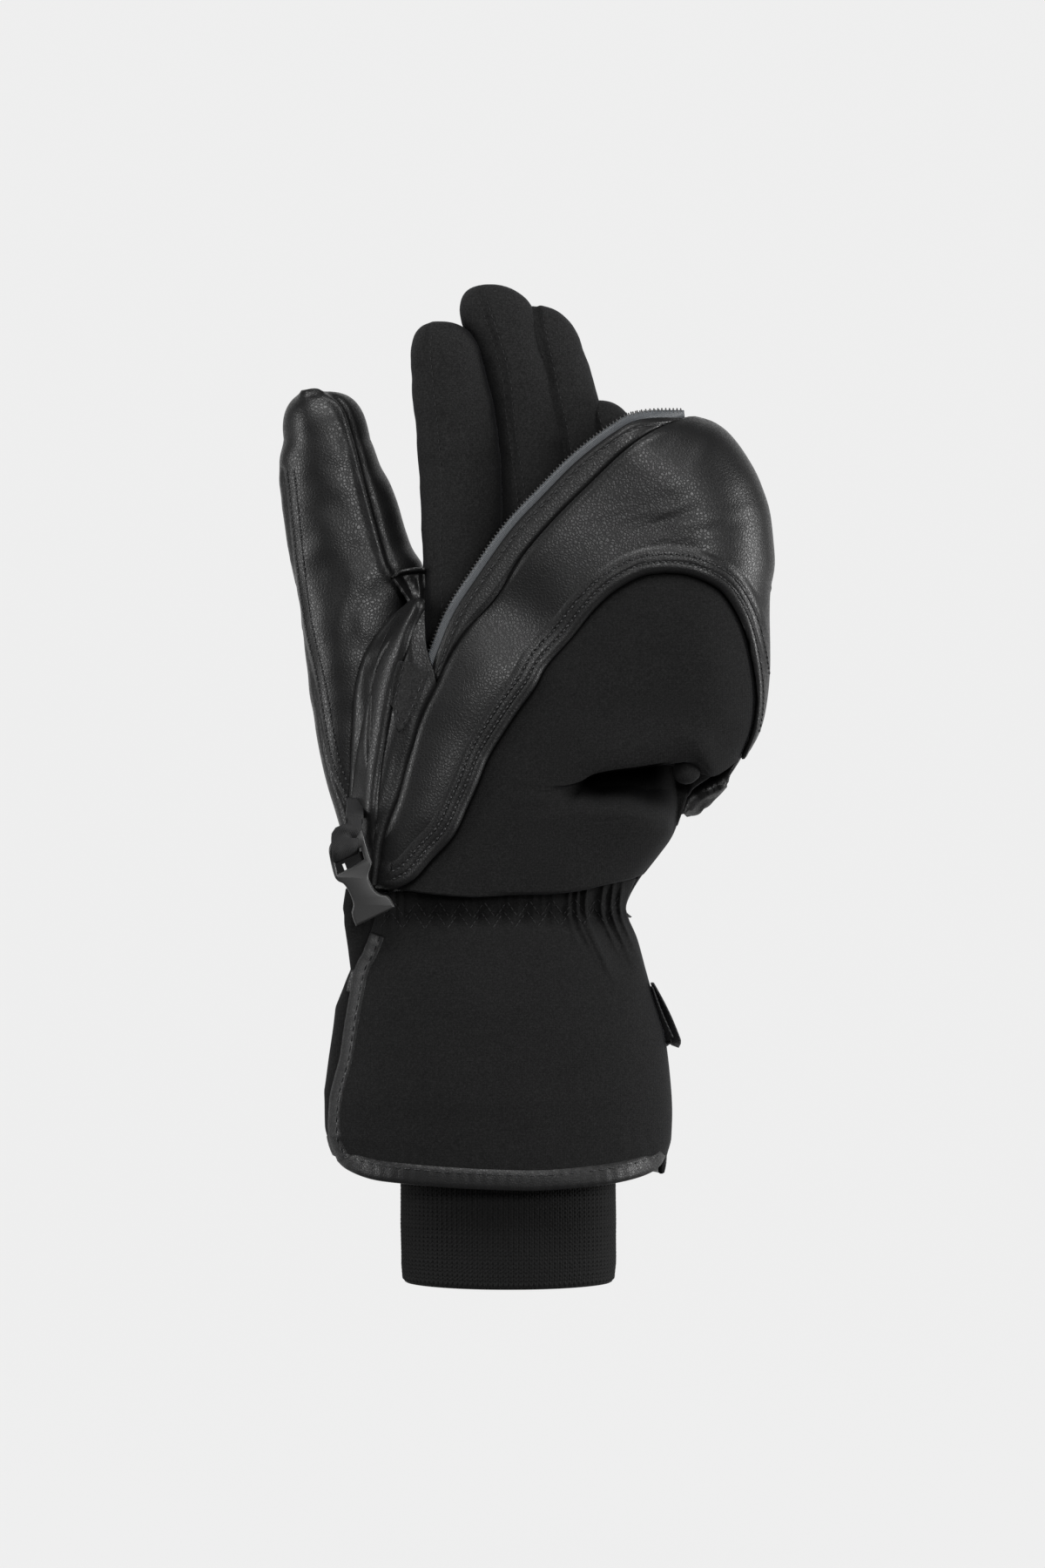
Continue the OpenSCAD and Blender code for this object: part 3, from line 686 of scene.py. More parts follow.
def make_hood_leather():
    inner, outer = leather_edges()
    across = 64
    v = np.linspace(0, 1, across)[None, :, None]
    q = inner[:, None] * (1 - v) + outer[:, None] * v
    y = back_surface(q)
    seam = distance(q, SEAM_LINE)
    # folded seam allowance under the leather's edge, quilted down by two rows
    y += 0.9 * smooth(0, 0.8, seam) * (1 - smooth(5.4, 7.5, seam))
    for row in (2.4, 4.9):
        y -= 0.3 * bell(seam - row, 0.5)
    y -= edge_roll(q, [spline(STRIP_LOW, 60), spline(STRIP_SEAM, 80)], 1.3, 1.2)
    # creases in the leather over the hood's tip, and a soft hollow above the strap-like part
    x, z = q[..., 0], q[..., 1]
    crease = np.exp(-(((x - 56) / 20) ** 2 + ((z - 243) / 11) ** 2))
    y += 0.4 * crease * bumps(np.stack([x + 0.5 * z, z - 0.35 * x], -1), (17, 5), 4.2)
    strap = smooth(132, 152, z) * (1 - smooth(205, 232, z)) * (1 - smooth(10, 34, x))
    y += 1.9 * strap * np.sin(np.pi * v[..., 0]) ** 0.9
    y -= 3.4 * np.exp(-(((x - 5) / 16) ** 2 + ((z - 212) / 13) ** 2))
    y += 0.12 * bell(seam - 3.6, 3.0) * bumps(q, (4, 4), 6.0, 1)
    p = to3(q, -y)
    obj = shell("hood_leather_back", p, 1.4, LEATHER, "leather", flip=True)
    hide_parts("hood_leather", "side_leather")
    return on_hood_line(obj)


def make_strip():
    """The zip's leather facing, between the zip and the seam beside it."""
    q = between(ZIP_EDGE, STRIP_SEAM, 140, 22, even=True)
    y = half_depth(q, False) + 0.5
    lines = [spline(ZIP_EDGE, 80), spline(STRIP_SEAM, 80)]
    y -= 0.9 * bell(distance(q, lines[0]), 0.7)
    y -= 1.2 * bell(distance(q, lines[1]), 1.0)
    y -= 0.3 * bell(distance(q, lines[0]) - 2.3, 0.5)
    p = to3(q, -np.maximum(y, 0.6))
    obj = shell("hood_zip_facing", p, 1.4, LEATHER, "leather", flip=True)
    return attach(obj, "hood")


def make_index_side():
    """Leather beside the index finger: from the strip's seam over two rolls to the crotch."""
    seam = STRIP_LOW[:-1] + [(-24, 190.5), (-23.6, 195), (-26.2, 203.5), (-26.9, 212), (-26.9, 219)]
    q = between(seam, ROLL, 170, 90)
    t = np.linspace(0, 1, 90)[None, :] + 0 * q[..., 0]
    z = q[..., 1]
    y = half_depth(q, False) - 0.4 - 10.4 * smooth(0.28, 1, t) - 1.6 * smooth(196, 216, z)
    one = distance(q, spline(CREST_IN, 70))
    two = distance(q, spline(CREST_OUT, 50))
    big = 3.4 * smooth(136, 158, z)
    y += big * np.sqrt(np.clip(1 - (one / (3.5 - 1.3 * smooth(200, 217, z))) ** 2, 0, 1))
    y += 2.7 * smooth(164, 176, z) * (1 - smooth(201, 209, z)) * np.sqrt(np.clip(1 - (two / 2.9) ** 2, 0, 1))
    y -= 1.3 * bell(distance(q, spline(STRIP_LOW, 60)), 1.1)
    y += 0.45 * bumps(q, (9, 20), 1.7)
    fine = np.stack([q[..., 0] + 0.25 * z, z], -1)
    y += 0.22 * bumps(fine, (3.0, 9), 7.7, 1) * smooth(0.5, 0.7, t)
    y -= 2.2 * smooth(0.975, 1, t)
    y -= 2.6 * smooth(154, 144, z) * smooth(0.05, 0.4, t)
    p = to3(q, -y)
    obj = shell("index_side_leather", p, 1.3, LEATHER, "leather", flip=True)
    return on_hood_line(obj)


# ---------------------------------------------------------------- fingers and thumb

FINGERS = {
    # name: (height, left, right) up the finger, top height, half depth, centre depth
    "index": ([(205, -28, 0), (230, -27.4, -1.6), (257, -28.6, -2), (271.6, -29.5, -3.1), (286, -30.8, -5.3),
               (296.5, -31.4, -8.1)], 309.1, 9.6, -1.5),
    "middle": ([(205, -3, 21), (243, -3, 22.5), (268, -3.6, 19.8), (279, -5.4, 17.6), (289, -8, 15.4),
                (300, -11.8, 12.6), (309, -15.2, 9.9)], 321.2, 9.4, 1.5),
    "ring": ([(205, 20, 40), (240, 17, 38), (268, 10, 31.5), (279, 7, 29.9), (290, 4.5, 27.6), (301, 1.2, 23.9)],
             314.6, 9.0, 4.0),
    "little": ([(205, 38, 55), (240, 32, 50), (262, 26.5, 44), (274, 22.6, 41)], 284.3, 8.2, 6.0),
}
SIDE_SEAMS = {
    "index": [(-25.4, 308), (-26.3, 298.8), (-25.2, 285.9), (-23.5, 268), (-22.7, 250), (-23.1, 235.8),
              (-22.4, 210)],
    "middle": [(-9.2, 319), (-6.7, 310.8), (-3.9, 302.4), (-0.6, 289.5), (0.4, 278.6), (2.4, 264.3),
               (4, 252.3), (6, 230)],
    "ring": [(9, 314), (11, 304), (14, 290), (18, 272), (21, 250), (23, 230)],
    "little": [(27, 282), (29, 274), (33, 262), (36, 245)],
}


def tube_grid(stations, top, depth, centre, around, rings, tip_rings, power=0.92, tip_power=0.8):
    """Outer face of a stall from its edges: rings up the shaft, then a rounded tip."""
    st = np.array(stations, float)
    s = np.linspace(0, 1, rings)
    c = curve_at(st, s)
    a = np.linspace(0, 2 * np.pi, around, endpoint=False)
    ca, sa = np.cos(a), np.sin(a)
    cx = np.sign(ca) * np.abs(ca) ** power
    sy = np.sign(sa) * np.abs(sa) ** power
    rows = []
    for z, lo, hi in c:
        rows.append(np.stack([(lo + hi) / 2 + (hi - lo) / 2 * cx, centre + depth * sy, np.full(around, z)], 1))
    z, lo, hi = c[-1]
    lean = ((c[-1, 1] + c[-1, 2]) - (c[-4, 1] + c[-4, 2])) / 2 / (c[-1, 0] - c[-4, 0])
    for w in np.linspace(0, 1, tip_rings + 1)[1:]:
        ang = w * np.pi / 2 * 0.985
        k = math.cos(ang) ** tip_power
        up = (top - z) * math.sin(ang) ** 0.95
        mid = (lo + hi) / 2 + lean * up * 0.8
        rows.append(np.stack([mid + (hi - lo) / 2 * k * cx, centre + depth * k * sy, np.full(around, z + up)], 1))
    return np.array(rows).transpose(1, 0, 2)


def bend_with(obj):
    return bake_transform(obj)


def seam_groove(p, n, line, centre, sink, width, side=-1):
    """Sink a stall's face along a line drawn in X and Z on its back."""
    d = distance(p[..., [0, 2]], line)
    facing = (p[..., 1] - centre) * side > 0
    return p - n * (sink * bell(d, width) * facing)[..., None]


def make_finger(name):
    stations, top, depth, centre = FINGERS[name]
    p = tube_grid(stations, top, depth, centre, 72, 60, 14)
    n = grid_normals(p, True)
    wr = 0.35 * bumps(p, (16, 16, 9), len(name)) + 0.12 * bumps(p, (7, 7, 4), 2.0 + len(name), 1)
    p = p + n * wr[..., None]
    line = spline(SIDE_SEAMS[name], 60)
    p = seam_groove(p, n, line, centre, 0.75, 0.6)
    ridge = distance(p[..., [0, 2]], line + [1.5, 0])
    p = p + n * (0.25 * bell(ridge, 1.2) * (p[..., 1] < centre))[..., None]
    obj = shell(name + "_stall", p, 1.1, FINGER, "finger_cloth", wrap=True, cap=True)
    tree = tree_of(obj)
    rows = []
    for shift in ((1.4,) if name != "middle" else (1.3, -1.1)):
        pts, nrm = laid_on(tree, spline(SIDE_SEAMS[name], 160)[6:] + [shift, 0])
        if len(pts) > 10:
            rows.append(stitch_row(pts, nrm, long=1.6, gap=0.8, r=0.16))
    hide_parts(name + "_tip", "stall_bases", "inner_hand")
    bend_with(obj)
    if rows:
        thread(name + "_stitching", rows, lambda o: bend_with(o), dull=True)
    liner = tube_grid([(z, lo + 2, hi - 2) for z, lo, hi in stations], top - 2.2, depth - 2, centre, 32, 24, 8)
    inside = shell(name + "_fleece", liner, 1.2, FLEECE, "fleece", wrap=True, cap=True)
    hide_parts(name + "_lining", "stall_linings")
    bend_with(inside)
    return obj


THUMB = [(147, -54.2, -47.4), (153, -56, -45), (160, -58.2, -43), (175, -61.6, -40), (190, -64.3, -36.5),
         (207, -66.6, -33), (217, -67.8, -30.5), (230, -69.8, -28.2), (239, -71.3, -32.2), (254, -73.6, -36.7),
         (264, -73.9, -41.4), (272, -72.6, -44.8)]
THUMB_RIDGE = [(-66, 286), (-60.6, 286.2), (-54.6, 281.7), (-51, 271.6), (-47.3, 257.3), (-43.8, 244.4),
               (-39.5, 230.2), (-35.3, 224.6), (-30.2, 217.3)]
THUMB_ROWS = [(-71.6, 262), (-70.4, 252), (-67.2, 222), (-64.6, 207), (-61.3, 193), (-57.4, 171), (-54, 161),
              (-49.6, 152.2)]


def make_thumb():
    p = tube_grid(THUMB, 287.8, 13.2, 5.0, 104, 120, 18, power=0.95, tip_power=0.72)
    z = p[..., 2]
    # the thumb stands forward of the hand, and thins out into the seam at the wrist
    thin = smooth(147, 196, z)
    p[..., 1] = (p[..., 1] - 5) * (0.45 + 0.55 * thin) + 5 + 3 * smooth(200, 260, z) - 6.5 * (1 - thin)
    n = grid_normals(p, True)
    wr = (0.7 * bumps(p, (22, 22, 16), 5.5) * smooth(150, 180, z)
          + 0.3 * bumps(p, (9, 9, 6), 8.1, 1) * smooth(190, 230, z))
    p = p + n * wr[..., None]
    centre = 4
    ridge = spline(THUMB_RIDGE, 90)
    d = distance(p[..., [0, 2]], ridge)
    front = p[..., 1] < centre + 3
    p = p + n * (1.5 * bell(d, 1.1) * front)[..., None]
    d2 = distance(p[..., [0, 2]], ridge + [1.9, 0.4])
    p = p - n * (1.0 * bell(d2, 0.8) * front)[..., None]
    seam = spline(THUMB_ROWS, 90)
    d3 = distance(p[..., [0, 2]], seam - [1.3, 0])
    p = p - n * (0.55 * bell(d3, 0.7) * front)[..., None]
    # creases where the thumb bends towards the palm
    cr = np.exp(-(((p[..., 0] + 50) / 9) ** 2 + ((z - 218) / 16) ** 2)) * front
    p = p + n * (0.5 * cr * bumps(p, (5, 9, 12), 2.2, 1))[..., None]
    obj = shell("thumb_leather", p, 1.4, LEATHER, "leather", wrap=True, cap=True)
    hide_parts("thumb_base", "thumb_tip")
    tree = tree_of(obj)
    rows, holes = [], []
    for shift in (0.3, 2.6):
        pts, nrm = laid_on(tree, spline(THUMB_ROWS, 200) + [shift, 0])
        rows.append(stitch_row(pts, nrm, long=1.4, gap=0.7, r=0.28))
        holes.append(needle_hole_shade(pts, nrm, 2.1, 0.36, 0.3 + 1.4 + 0.35))
    bend_with(obj)
    # near-black discs at the stitches: painted shade of the needle holes
    bend_with(mesh_piece("thumb_stitch_holes", *joined(holes), HOLE_SHADE, "webbing"))
    thread("thumb_stitching", rows, lambda o: bend_with(o))
    liner = tube_grid([(a, lo + 3, hi - 3) for a, lo, hi in THUMB[3:]], 284.5, 10.5, 6.5, 36, 30, 8)
    inside = shell("thumb_fleece", liner, 1.2, FLEECE, "fleece", wrap=True, cap=True)
    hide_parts("thumb_lining")
    bend_with(inside)
    return obj


# ---------------------------------------------------------------- inner hand and palm

def ring_path(lo, hi, depth, t, z, power=0.85):
    c, s = np.cos(t), np.sin(t)
    return np.stack([(lo + hi) / 2 + (hi - lo) / 2 * np.sign(c) * np.abs(c) ** power,
                     depth * np.sign(s) * np.abs(s) ** power, z + 0 * t], -1)


def make_inner_hand():
    """The finger glove's hand: softshell, closed over the knuckles by the stalls."""
    t = np.linspace(0, 2 * np.pi, 72, endpoint=False)
    zs = np.linspace(128, 222, 30)
    p = np.array([ring_path(np.interp(z, [126, 150, 168, 222], [-40, -43, -27, -27.5]),
                            np.interp(z, [126, 140, 150, 222], [33, 43, 47, 54]),
                            np.interp(z, [126, 200, 222], [14, 13.5, 11]), t, z) for z in zs]).transpose(1, 0, 2)
    n = grid_normals(p, True)
    p = p + n * (0.5 * bumps(p, (20, 20, 14), 6.6))[..., None]
    obj = shell("finger_glove_hand", p, 1.2, FINGER, "finger_cloth", wrap=True)
    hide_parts("inner_hand")
    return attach(obj, "hand")


PALM_LEFT = [(-48.5, 118), (-51, 128), (-52.5, 140), (-52, 150), (-38, 163), (-18, 170), (-7, 178), (-4.5, 199),
             (-1.5, 222), (3, 240), (8, 251), (20, 263), (36, 277), (50, 279)]
PALM_RIGHT = [(38.5, 118), (38, 122), (42, 129.9), (48.7, 138.3), (52.6, 143.9), (55.2, 150.5), (61, 152),
              (67, 157.5), (71.4, 163.5), (76.6, 172), (80.4, 180.6), (82.6, 195.7), (82.6, 215), (84.2, 230.7),
              (82.6, 248.1), (77.6, 261.5), (72.5, 269.4), (67.6, 274.4), (61.9, 276.9), (56, 279)]


def make_palm():
    """Palm leather, from the wrist over the fold and up the hood's palm side."""
    rows, cols = 150, 90
    one, two = spline(PALM_LEFT, rows), spline(PALM_RIGHT, rows)
    u = np.linspace(0, 1, cols)[:, None, None]
    q = one[None] * (1 - u) + two[None] * u
    blend_z = smooth(150, 175, q[..., 1])
    y = np.maximum(half_depth(q), 0.6) * (1 - blend_z) + np.maximum(half_depth(q, False), 0.6) * blend_z
    y = y * (0.86 + 0.14 * smooth(118, 136, q[..., 1]))
    y += 0.8 * bumps(q, (30, 22), 12.0) * smooth(2, 12, y)
    # folds that the peeled hood makes across the palm
    for z0, x0, amp in ((160, 40, 3.2), (172, 48, 2.0), (150, 34, 1.6)):
        slope = z0 + 0.12 * (q[..., 0] - x0)
        y -= amp * bell(q[..., 1] - slope, 3.2) * smooth(-6, 26, q[..., 0]) * smooth(1, 8, y)
    seam = spline([(62.5, 150), (63.5, 160), (66, 175), (67.5, 200), (68, 230), (64, 256), (56, 277)], 80)
    y -= 0.9 * bell(distance(q, seam), 1.0) * smooth(1, 5, y)
    y += 0.5 * bumps(q, (11, 9), 15.0, 1) * bell(q[..., 1] - 168, 26)
    p = to3(q, y)
    obj = shell("palm_leather_shell", p, 1.4, LEATHER, "leather", flip=True)
    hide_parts("palm_leather", "hood_palm")
    tree = tree_of(obj)
    side_seam = spline([(63.5, 164), (66, 178), (67.5, 200), (68, 230), (64.5, 254), (58, 272)], 150)
    lines = [side_seam - [2, 0], side_seam + [2, 0], spline(PALM_LEFT[6:], 160) + [2.4, -0.8]]
    stitches = [row_on(tree, line, 1, long=2.2, gap=1.0, r=0.24) for line in lines]
    on_hood_line(obj)
    thread("palm_stitching", stitches, on_hood_line)
    return obj


def make_palm_facing():
    """Leather between the thumb and the hood, over the palm of the inner glove."""
    q = patch([(-52, 150), (-20, 150), (8, 150)], [(-33, 216), (-14, 215), (5, 213)],
              [(-52, 150), (-47, 172), (-42, 195), (-33, 216)], [(8, 150), (7, 180), (5, 213)], 60, 60)
    y = 15.9 - 8.5 * (1 - smooth(-50, -22, q[..., 0]))
    y -= 1.4 * smooth(196, 214, q[..., 1])
    y += 0.6 * bumps(q, (18, 14), 21.0)
    obj = shell("palm_leather_upper", to3(q, y), 1.3, LEATHER, "leather", flip=True)
    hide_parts("zip_facing")
    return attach(obj, "hand")


def make_patch():
    """Second layer of leather on the palm."""
    edges = [[(-30, 128), (0, 126), (30, 130)], [(-24, 150), (2, 149), (30, 148)],
             [(-30, 128), (-32, 138), (-24, 150)], [(30, 130), (38, 140), (30, 148)]]
    q = patch(*edges, 50, 30)
    y = half_depth(q) * (0.86 + 0.14 * smooth(118, 136, q[..., 1])) + 1.5
    edge = np.minimum.reduce([distance(q, spline(e, 30)) for e in edges])
    y -= 0.8 * bell(edge, 0.6)
    y -= 0.3 * bell(edge - 2.0, 0.5)
    obj = shell("palm_patch_leather", to3(q, y), 1.1, LEATHER_BIND, "leather", flip=True)
    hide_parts("palm_patch")
    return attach(obj, "hand")


# ---------------------------------------------------------------- gauntlet, cuff

SLIT = [(-54.6, 40.3), (-57.6, 48.2), (-57.3, 59.6), (-56, 66.1), (-54, 73.6), (-52.4, 84.3), (-50.7, 94.1),
        (-49, 102.2), (-46.6, 107), (-44.5, 112.3), (-42.8, 118), (-41.6, 125.5)]
HEM = [(-54.6, 40.3), (-51.8, 38.4), (-43.7, 36.1), (-34.2, 35.1), (-19, 34), (-0.3, 33.2), (13.7, 33.2),
       (34.4, 35), (46.8, 37.8), (50.6, 41)]
GAUNT_RIGHT = [(50.6, 41), (52, 46), (52.6, 52.9), (52.4, 61.3), (51.2, 73.6), (49.8, 81.8), (46.8, 91.6),
               (44.2, 100.8), (41.4, 111), (38.4, 118), (37.8, 121.7), (39.4, 126.5), (41, 130)]
GAUNT_TOP = [(-41.6, 125.5), (-16, 127.5), (10, 128), (28, 130), (41, 130)]


def gaunt_depth(z):
    return np.interp(z, [30, 60, 90, 112, 119, 128], [31, 29.5, 25, 19.5, 16.5, 14.5])


def pleats(q):
    """Gathers that the wrist elastic pulls into the cloth: strongest on the little-finger side."""
    x, z = q[..., 0], q[..., 1]
    g = smooth(6, 27, x)
    s = x + (0.14 * (z - 120) - 0.36 * (np.sqrt((z - 120) ** 2 + 25) - 5)) * g
    s = s + 0.8 * np.sin(s * 0.55 + 0.6) + 0.35 * bumps(q, (9, 22), 33.0)
    wave = 1 - 1.7 * np.abs(np.sin(s * 0.86)) ** 0.75
    side = 0.16 + 1.0 * smooth(12, 31, x) + 0.22 * smooth(-22, -38, x)
    below = bell(np.clip(119 - z, 0, None), 4.5 + 5.5 * g)
    tall = np.where(z < 119, below, bell(np.clip(z - 124, 0, None), 5.0))
    out = 0.85 * wave * side * tall
    # one long crease that runs down and out from the gathers, with a hollow beside it
    line = 24.3 + (116.5 - z) * 0.5
    off = x - line
    run = smooth(96, 104, z) * (1 - smooth(116, 121, z))
    out = out + run * (0.8 * bell(off, 1.1) - 1.5 * bell(off - 5.5, 3.6))
    # small puckers along the zigzag
    band = bell(z - 118.5, 4.2)
    return out + 0.42 * band * bumps(q, (3.4, 3.4), 13.0, 1) + 0.2 * band * np.sin(x * 0.86) * (1 - g)


def make_gauntlet_back():
    q = patch(HEM, GAUNT_TOP, SLIT, GAUNT_RIGHT, 230, 150)
    x, z = q[..., 0], q[..., 1]
    right = np.interp(z, [p[1] for p in GAUNT_RIGHT], [p[0] for p in GAUNT_RIGHT])
    left = np.interp(z, [p[1] for p in SLIT], [p[0] for p in SLIT]) - 3.5
    k = np.clip((x - (left + right) / 2) / ((right - left) / 2), -0.999, 0.9995)
    y = gaunt_depth(z) * (1 - np.abs(k) ** 2.4) ** 0.5
    soft = smooth(0, 5, y)
    y += pleats(q) * soft
    y += 0.9 * bumps(q, (40, 30), 17.0) * smooth(1, 10, y) * smooth(124, 108, z)
    y += 0.5 * np.exp(-(((x - 42) / 8) ** 2 + ((z - 47) / 6) ** 2)) * bumps(q, (5, 12), 19.0) * soft
    y -= 1.1 * bell(z - 118.5, 3.6) * soft
    p = to3(q, -np.maximum(y, 0.2))
    obj = shell("gauntlet_back_cloth", p, 1.3, SHELL, "softshell")
    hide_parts("gauntlet_back")
    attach(obj, "hand")
    return obj


def make_elastic():
    """Gathered elastic inside the wrist."""
    t = np.linspace(0, 2 * np.pi, 96, endpoint=False)
    p = np.array([ring_path(-39, 33.5, 12.2 - 0.5 * math.sin(k), t, z)
                  for k, z in zip(np.linspace(0, 3, 8), np.linspace(117, 124.5, 8))]).transpose(1, 0, 2)
    obj = shell("wrist_elastic_band", p, 0.9, ELASTIC, "elastic", wrap=True)
    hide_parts("wrist_elastic")
    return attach(obj, "hand")


def palm_gaunt_section(z, t):
    left = np.interp(z, [38, 50, 62, 66, 79, 89, 94.6, 101, 108, 115, 121, 126, 130],
                     [-55.5, -58.6, -59.4, -58.8, -57, -55.4, -52.8, -50.2, -51.4, -52.8, -53.4, -52.6, -52])
    right = np.interp(z, [38, 46, 53, 61, 74, 82, 92, 101, 114, 120, 128],
                      [50, 52, 52.4, 52.2, 51, 49.6, 46.6, 44, 40.7, 38.3, 39])
    p = ring_path(left, right, gaunt_depth(z) * 0.98, t, z, 0.88)
    if t > math.pi:
        p[1] *= 0.5
    return p


def make_gauntlet_palm():
    t = np.linspace(math.radians(2), math.radians(226), 156)
    zs = np.linspace(0, 1, 80)
    rows = []
    for v in zs:
        low = 36 + 6 * np.clip(-np.cos(t), 0, 1) ** 4
        z = low + (127 - low) * v
        rows.append(np.array([palm_gaunt_section(zz, tt) for zz, tt in zip(z, t)]))
    p = np.array(rows).transpose(1, 0, 2)
    q = p[..., [0, 2]]
    n = grid_normals(p)
    front = smooth(2, -6, p[..., 1])
    p = p + n * ((0.8 * pleats(q) + 0.8 * bumps(p, (36, 36, 30), 22.0)) * (1 - 0.5 * front))[..., None]
    obj = shell("gauntlet_palm_cloth", p, 1.6, SHELL, "softshell")
    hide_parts("gauntlet_palm")
    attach(obj, "hand")
    return obj, p


BIND_PROFILE = [(-1.05, -3.1), (-1.2, -1.6), (-1.25, 0), (-1.15, 1.5), (-0.95, 2.9), (-0.4, 3.3), (0.4, 3.3),
                (0.95, 2.9), (1.15, 1.5), (1.25, 0), (1.2, -1.6), (1.05, -3.1), (0.4, -3.5), (-0.4, -3.5)]


def binding(name, edge, inward, normals, *nodes):
    """Folded leather over an edge: inward points into the cloth from the edge."""
    path = edge + inward * 2.6
    prof = np.array(BIND_PROFILE)
    wob = 1 + 0.05 * np.sin(np.arange(len(path)) * 0.9)
    pts = (path[:, None] + (prof[:, 0][None, :] * wob[:, None])[..., None] * normals[:, None]
           - prof[:, 1][None, :, None] * inward[:, None])
    faces = tube_faces(len(path), len(prof), True)
    obj = mesh_piece(name, pts.reshape(-1, 3), faces, LEATHER_BIND, "leather_binding")
    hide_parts(*nodes)
    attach(obj, "hand")
    inner = path + inward * 1.7 + normals * 1.25
    row = stitch_row(inner, normals, long=2.2, gap=1.1, r=0.24)
    thread(name + "_stitching", [row], lambda o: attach(o, "hand"))


def make_bindings(back, palm_grid):
    # back layer: up the slit and along the hem, read off the cloth's own edges
    tree = tree_of(back)
    line = np.vstack([spline(SLIT, 150)[::-1], spline(HEM, 200)[1:]])
    middle = np.array([-2.0, 85.0])
    left = left_of(line)
    left *= np.sign(((middle - line) * left).sum(1))[:, None]
    pts, nrm, inw = [], [], []
    for (x, z), (dx, dz) in zip(line, unit(averaged(left, 15))):
        hit, n, _, _ = tree.ray_cast(Vector((x + 1.2 * dx, -200, z + 1.2 * dz)), Vector((0, 1, 0)))
        hit2, _, _, _ = tree.ray_cast(Vector((x + 4.2 * dx, -200, z + 4.2 * dz)), Vector((0, 1, 0)))
        if hit is None or hit2 is None:
            continue
        d = unit(np.array(hit2) - np.array(hit))
        n = np.array(n) * (-1 if n.y > 0 else 1)
        n = unit(n - d * (n @ d))
        pts.append(np.array(hit) - 1.2 * d + n * -0.8)
        nrm.append(n)
        inw.append(d)
    pts, nrm, inw = np.array(pts), np.array(nrm), np.array(inw)
    keep = pts[:, 2] < 113
    binding("binding_back", pts[keep], inw[keep], nrm[keep], "hem_binding_back", "slit_binding_back")
    # palm layer: along its hem and up its own slit edge
    n = grid_normals(palm_grid)
    hem = palm_grid[:, 0] - n[:, 0] * 0.8
    up = unit(palm_grid[:, 3] - palm_grid[:, 0])
    binding("binding_palm_hem", hem, up, n[:, 0], "hem_binding_palm")
    edge = palm_grid[-1, :62] - n[-1, :62] * 0.8
    side = unit(palm_grid[-4, :62] - palm_grid[-1, :62])
    binding("binding_palm_slit", edge, side, n[-1, :62], "slit_binding_palm")


def make_zigzag(*on):
    """Two rows of zigzag stitches that hold the elastic."""
    tree = tree_of(*on)
    parts = []
    for side in (-1, 1):
        for base in (115.0, 118.2):
            xs = np.arange(-41, 37.5, 3.6) + (0.9 if base > 116 else 0)
            zs = base + np.where(np.arange(len(xs)) % 2 == 0, 0.0, 5.2) + 0.035 * np.maximum(xs, -10)
            for a in range(len(xs) - 1):
                line = np.stack([np.linspace(xs[a], xs[a + 1], 15), np.linspace(zs[a], zs[a + 1], 15)], 1)
                pts, nrm = laid_on(tree, line, side)
                if len(pts) == 15:
                    row = stitch_row(pts, nrm, long=1.5, gap=0.35, r=0.17)
                    if row:
                        parts.append(row)
    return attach(mesh_piece("wrist_zigzag", *joined(parts), THREAD_DULL, "webbing"), "hand")


def make_cuff():
    """Knitted tube: columns of V-shaped stitches, with a rounded fold at its mouth."""
    wales, per = 108, 6
    courses, rows_per = 34, 5
    around = wales * per
    t = np.linspace(0, 2 * np.pi, around, endpoint=False)
    course_h = 1.35
    n_rows = courses * rows_per
    z = np.concatenate([[1.3, 0.55, 0.12, 0.0, 0.25, 0.7], 1.2 + np.arange(n_rows) * course_h / rows_per,
                        np.linspace(1.2 + courses * course_h + 3, 112, 12)])
    inset = np.concatenate([[2.4, 1.9, 1.3, 0.75, 0.3, 0.1], np.zeros(len(z) - 6)])
    depth = np.interp(z, [0, 60, 112], [19.6, 19.4, 17.5])
    wide = np.interp(z, [0, 6, 20, 40, 112], [33.6, 34.1, 34.3, 34.0, 32.6])

    def ring_at(j, angles):
        return ring_path(-wide[j] + inset[j], wide[j] - inset[j], depth[j] - inset[j], angles, z[j])

    # even spacing round the tube
    ref = ring_at(20, t)
    s = arc_length(np.vstack([ref, ref[:1]]))
    even = np.interp(np.linspace(0, s[-1], around, endpoint=False), s, np.append(t, 2 * np.pi))
    p = np.stack([ring_at(j, even) for j in range(len(z))], 1)
    n = grid_normals(p, True)
    fu = (np.arange(around) / per)[:, None] % 1
    fv = ((z - 1.2) / course_h)[None, :]
    frac = fv - np.floor(fv)
    leg = 0.14 + 0.26 * frac
    off = np.abs(np.abs(fu - 0.5) - leg)
    height = 0.5 * bell(off, 0.15) * (0.75 + 0.25 * np.sin(np.pi * frac))
    height -= 0.4 * bell(np.minimum(fu, 1 - fu), 0.09)
    knit = (z > 1) & (z < 1.2 + courses * course_h)
    wave = 0.5 * bumps(p[:, ::4], (26, 26, 30), 30.0)
    wave = np.repeat(wave, 4, axis=1)[:, : len(z)]
    p = p + n * (height * knit[None] + wave * smooth(2, 12, z)[None])[..., None]
    p[..., 2] += (0.9 * (p[..., 0] / 34) ** 2) * smooth(14, 0, p[..., 2])
    obj = shell("knit_cuff_tube", p, 1.8, KNIT, "knit", wrap=True)
    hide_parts("knit_cuff")
    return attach(obj, "hand")


# ---------------------------------------------------------------- zip, garage, trims

COIL_PITCH = 1.25
COIL_LOOP = [(-0.6, 0.5), (0.4, 0.6), (1.0, 0.2), (1.15, -0.25), (0.8, -0.7), (-0.2, -0.8), (-0.8, -0.6)]


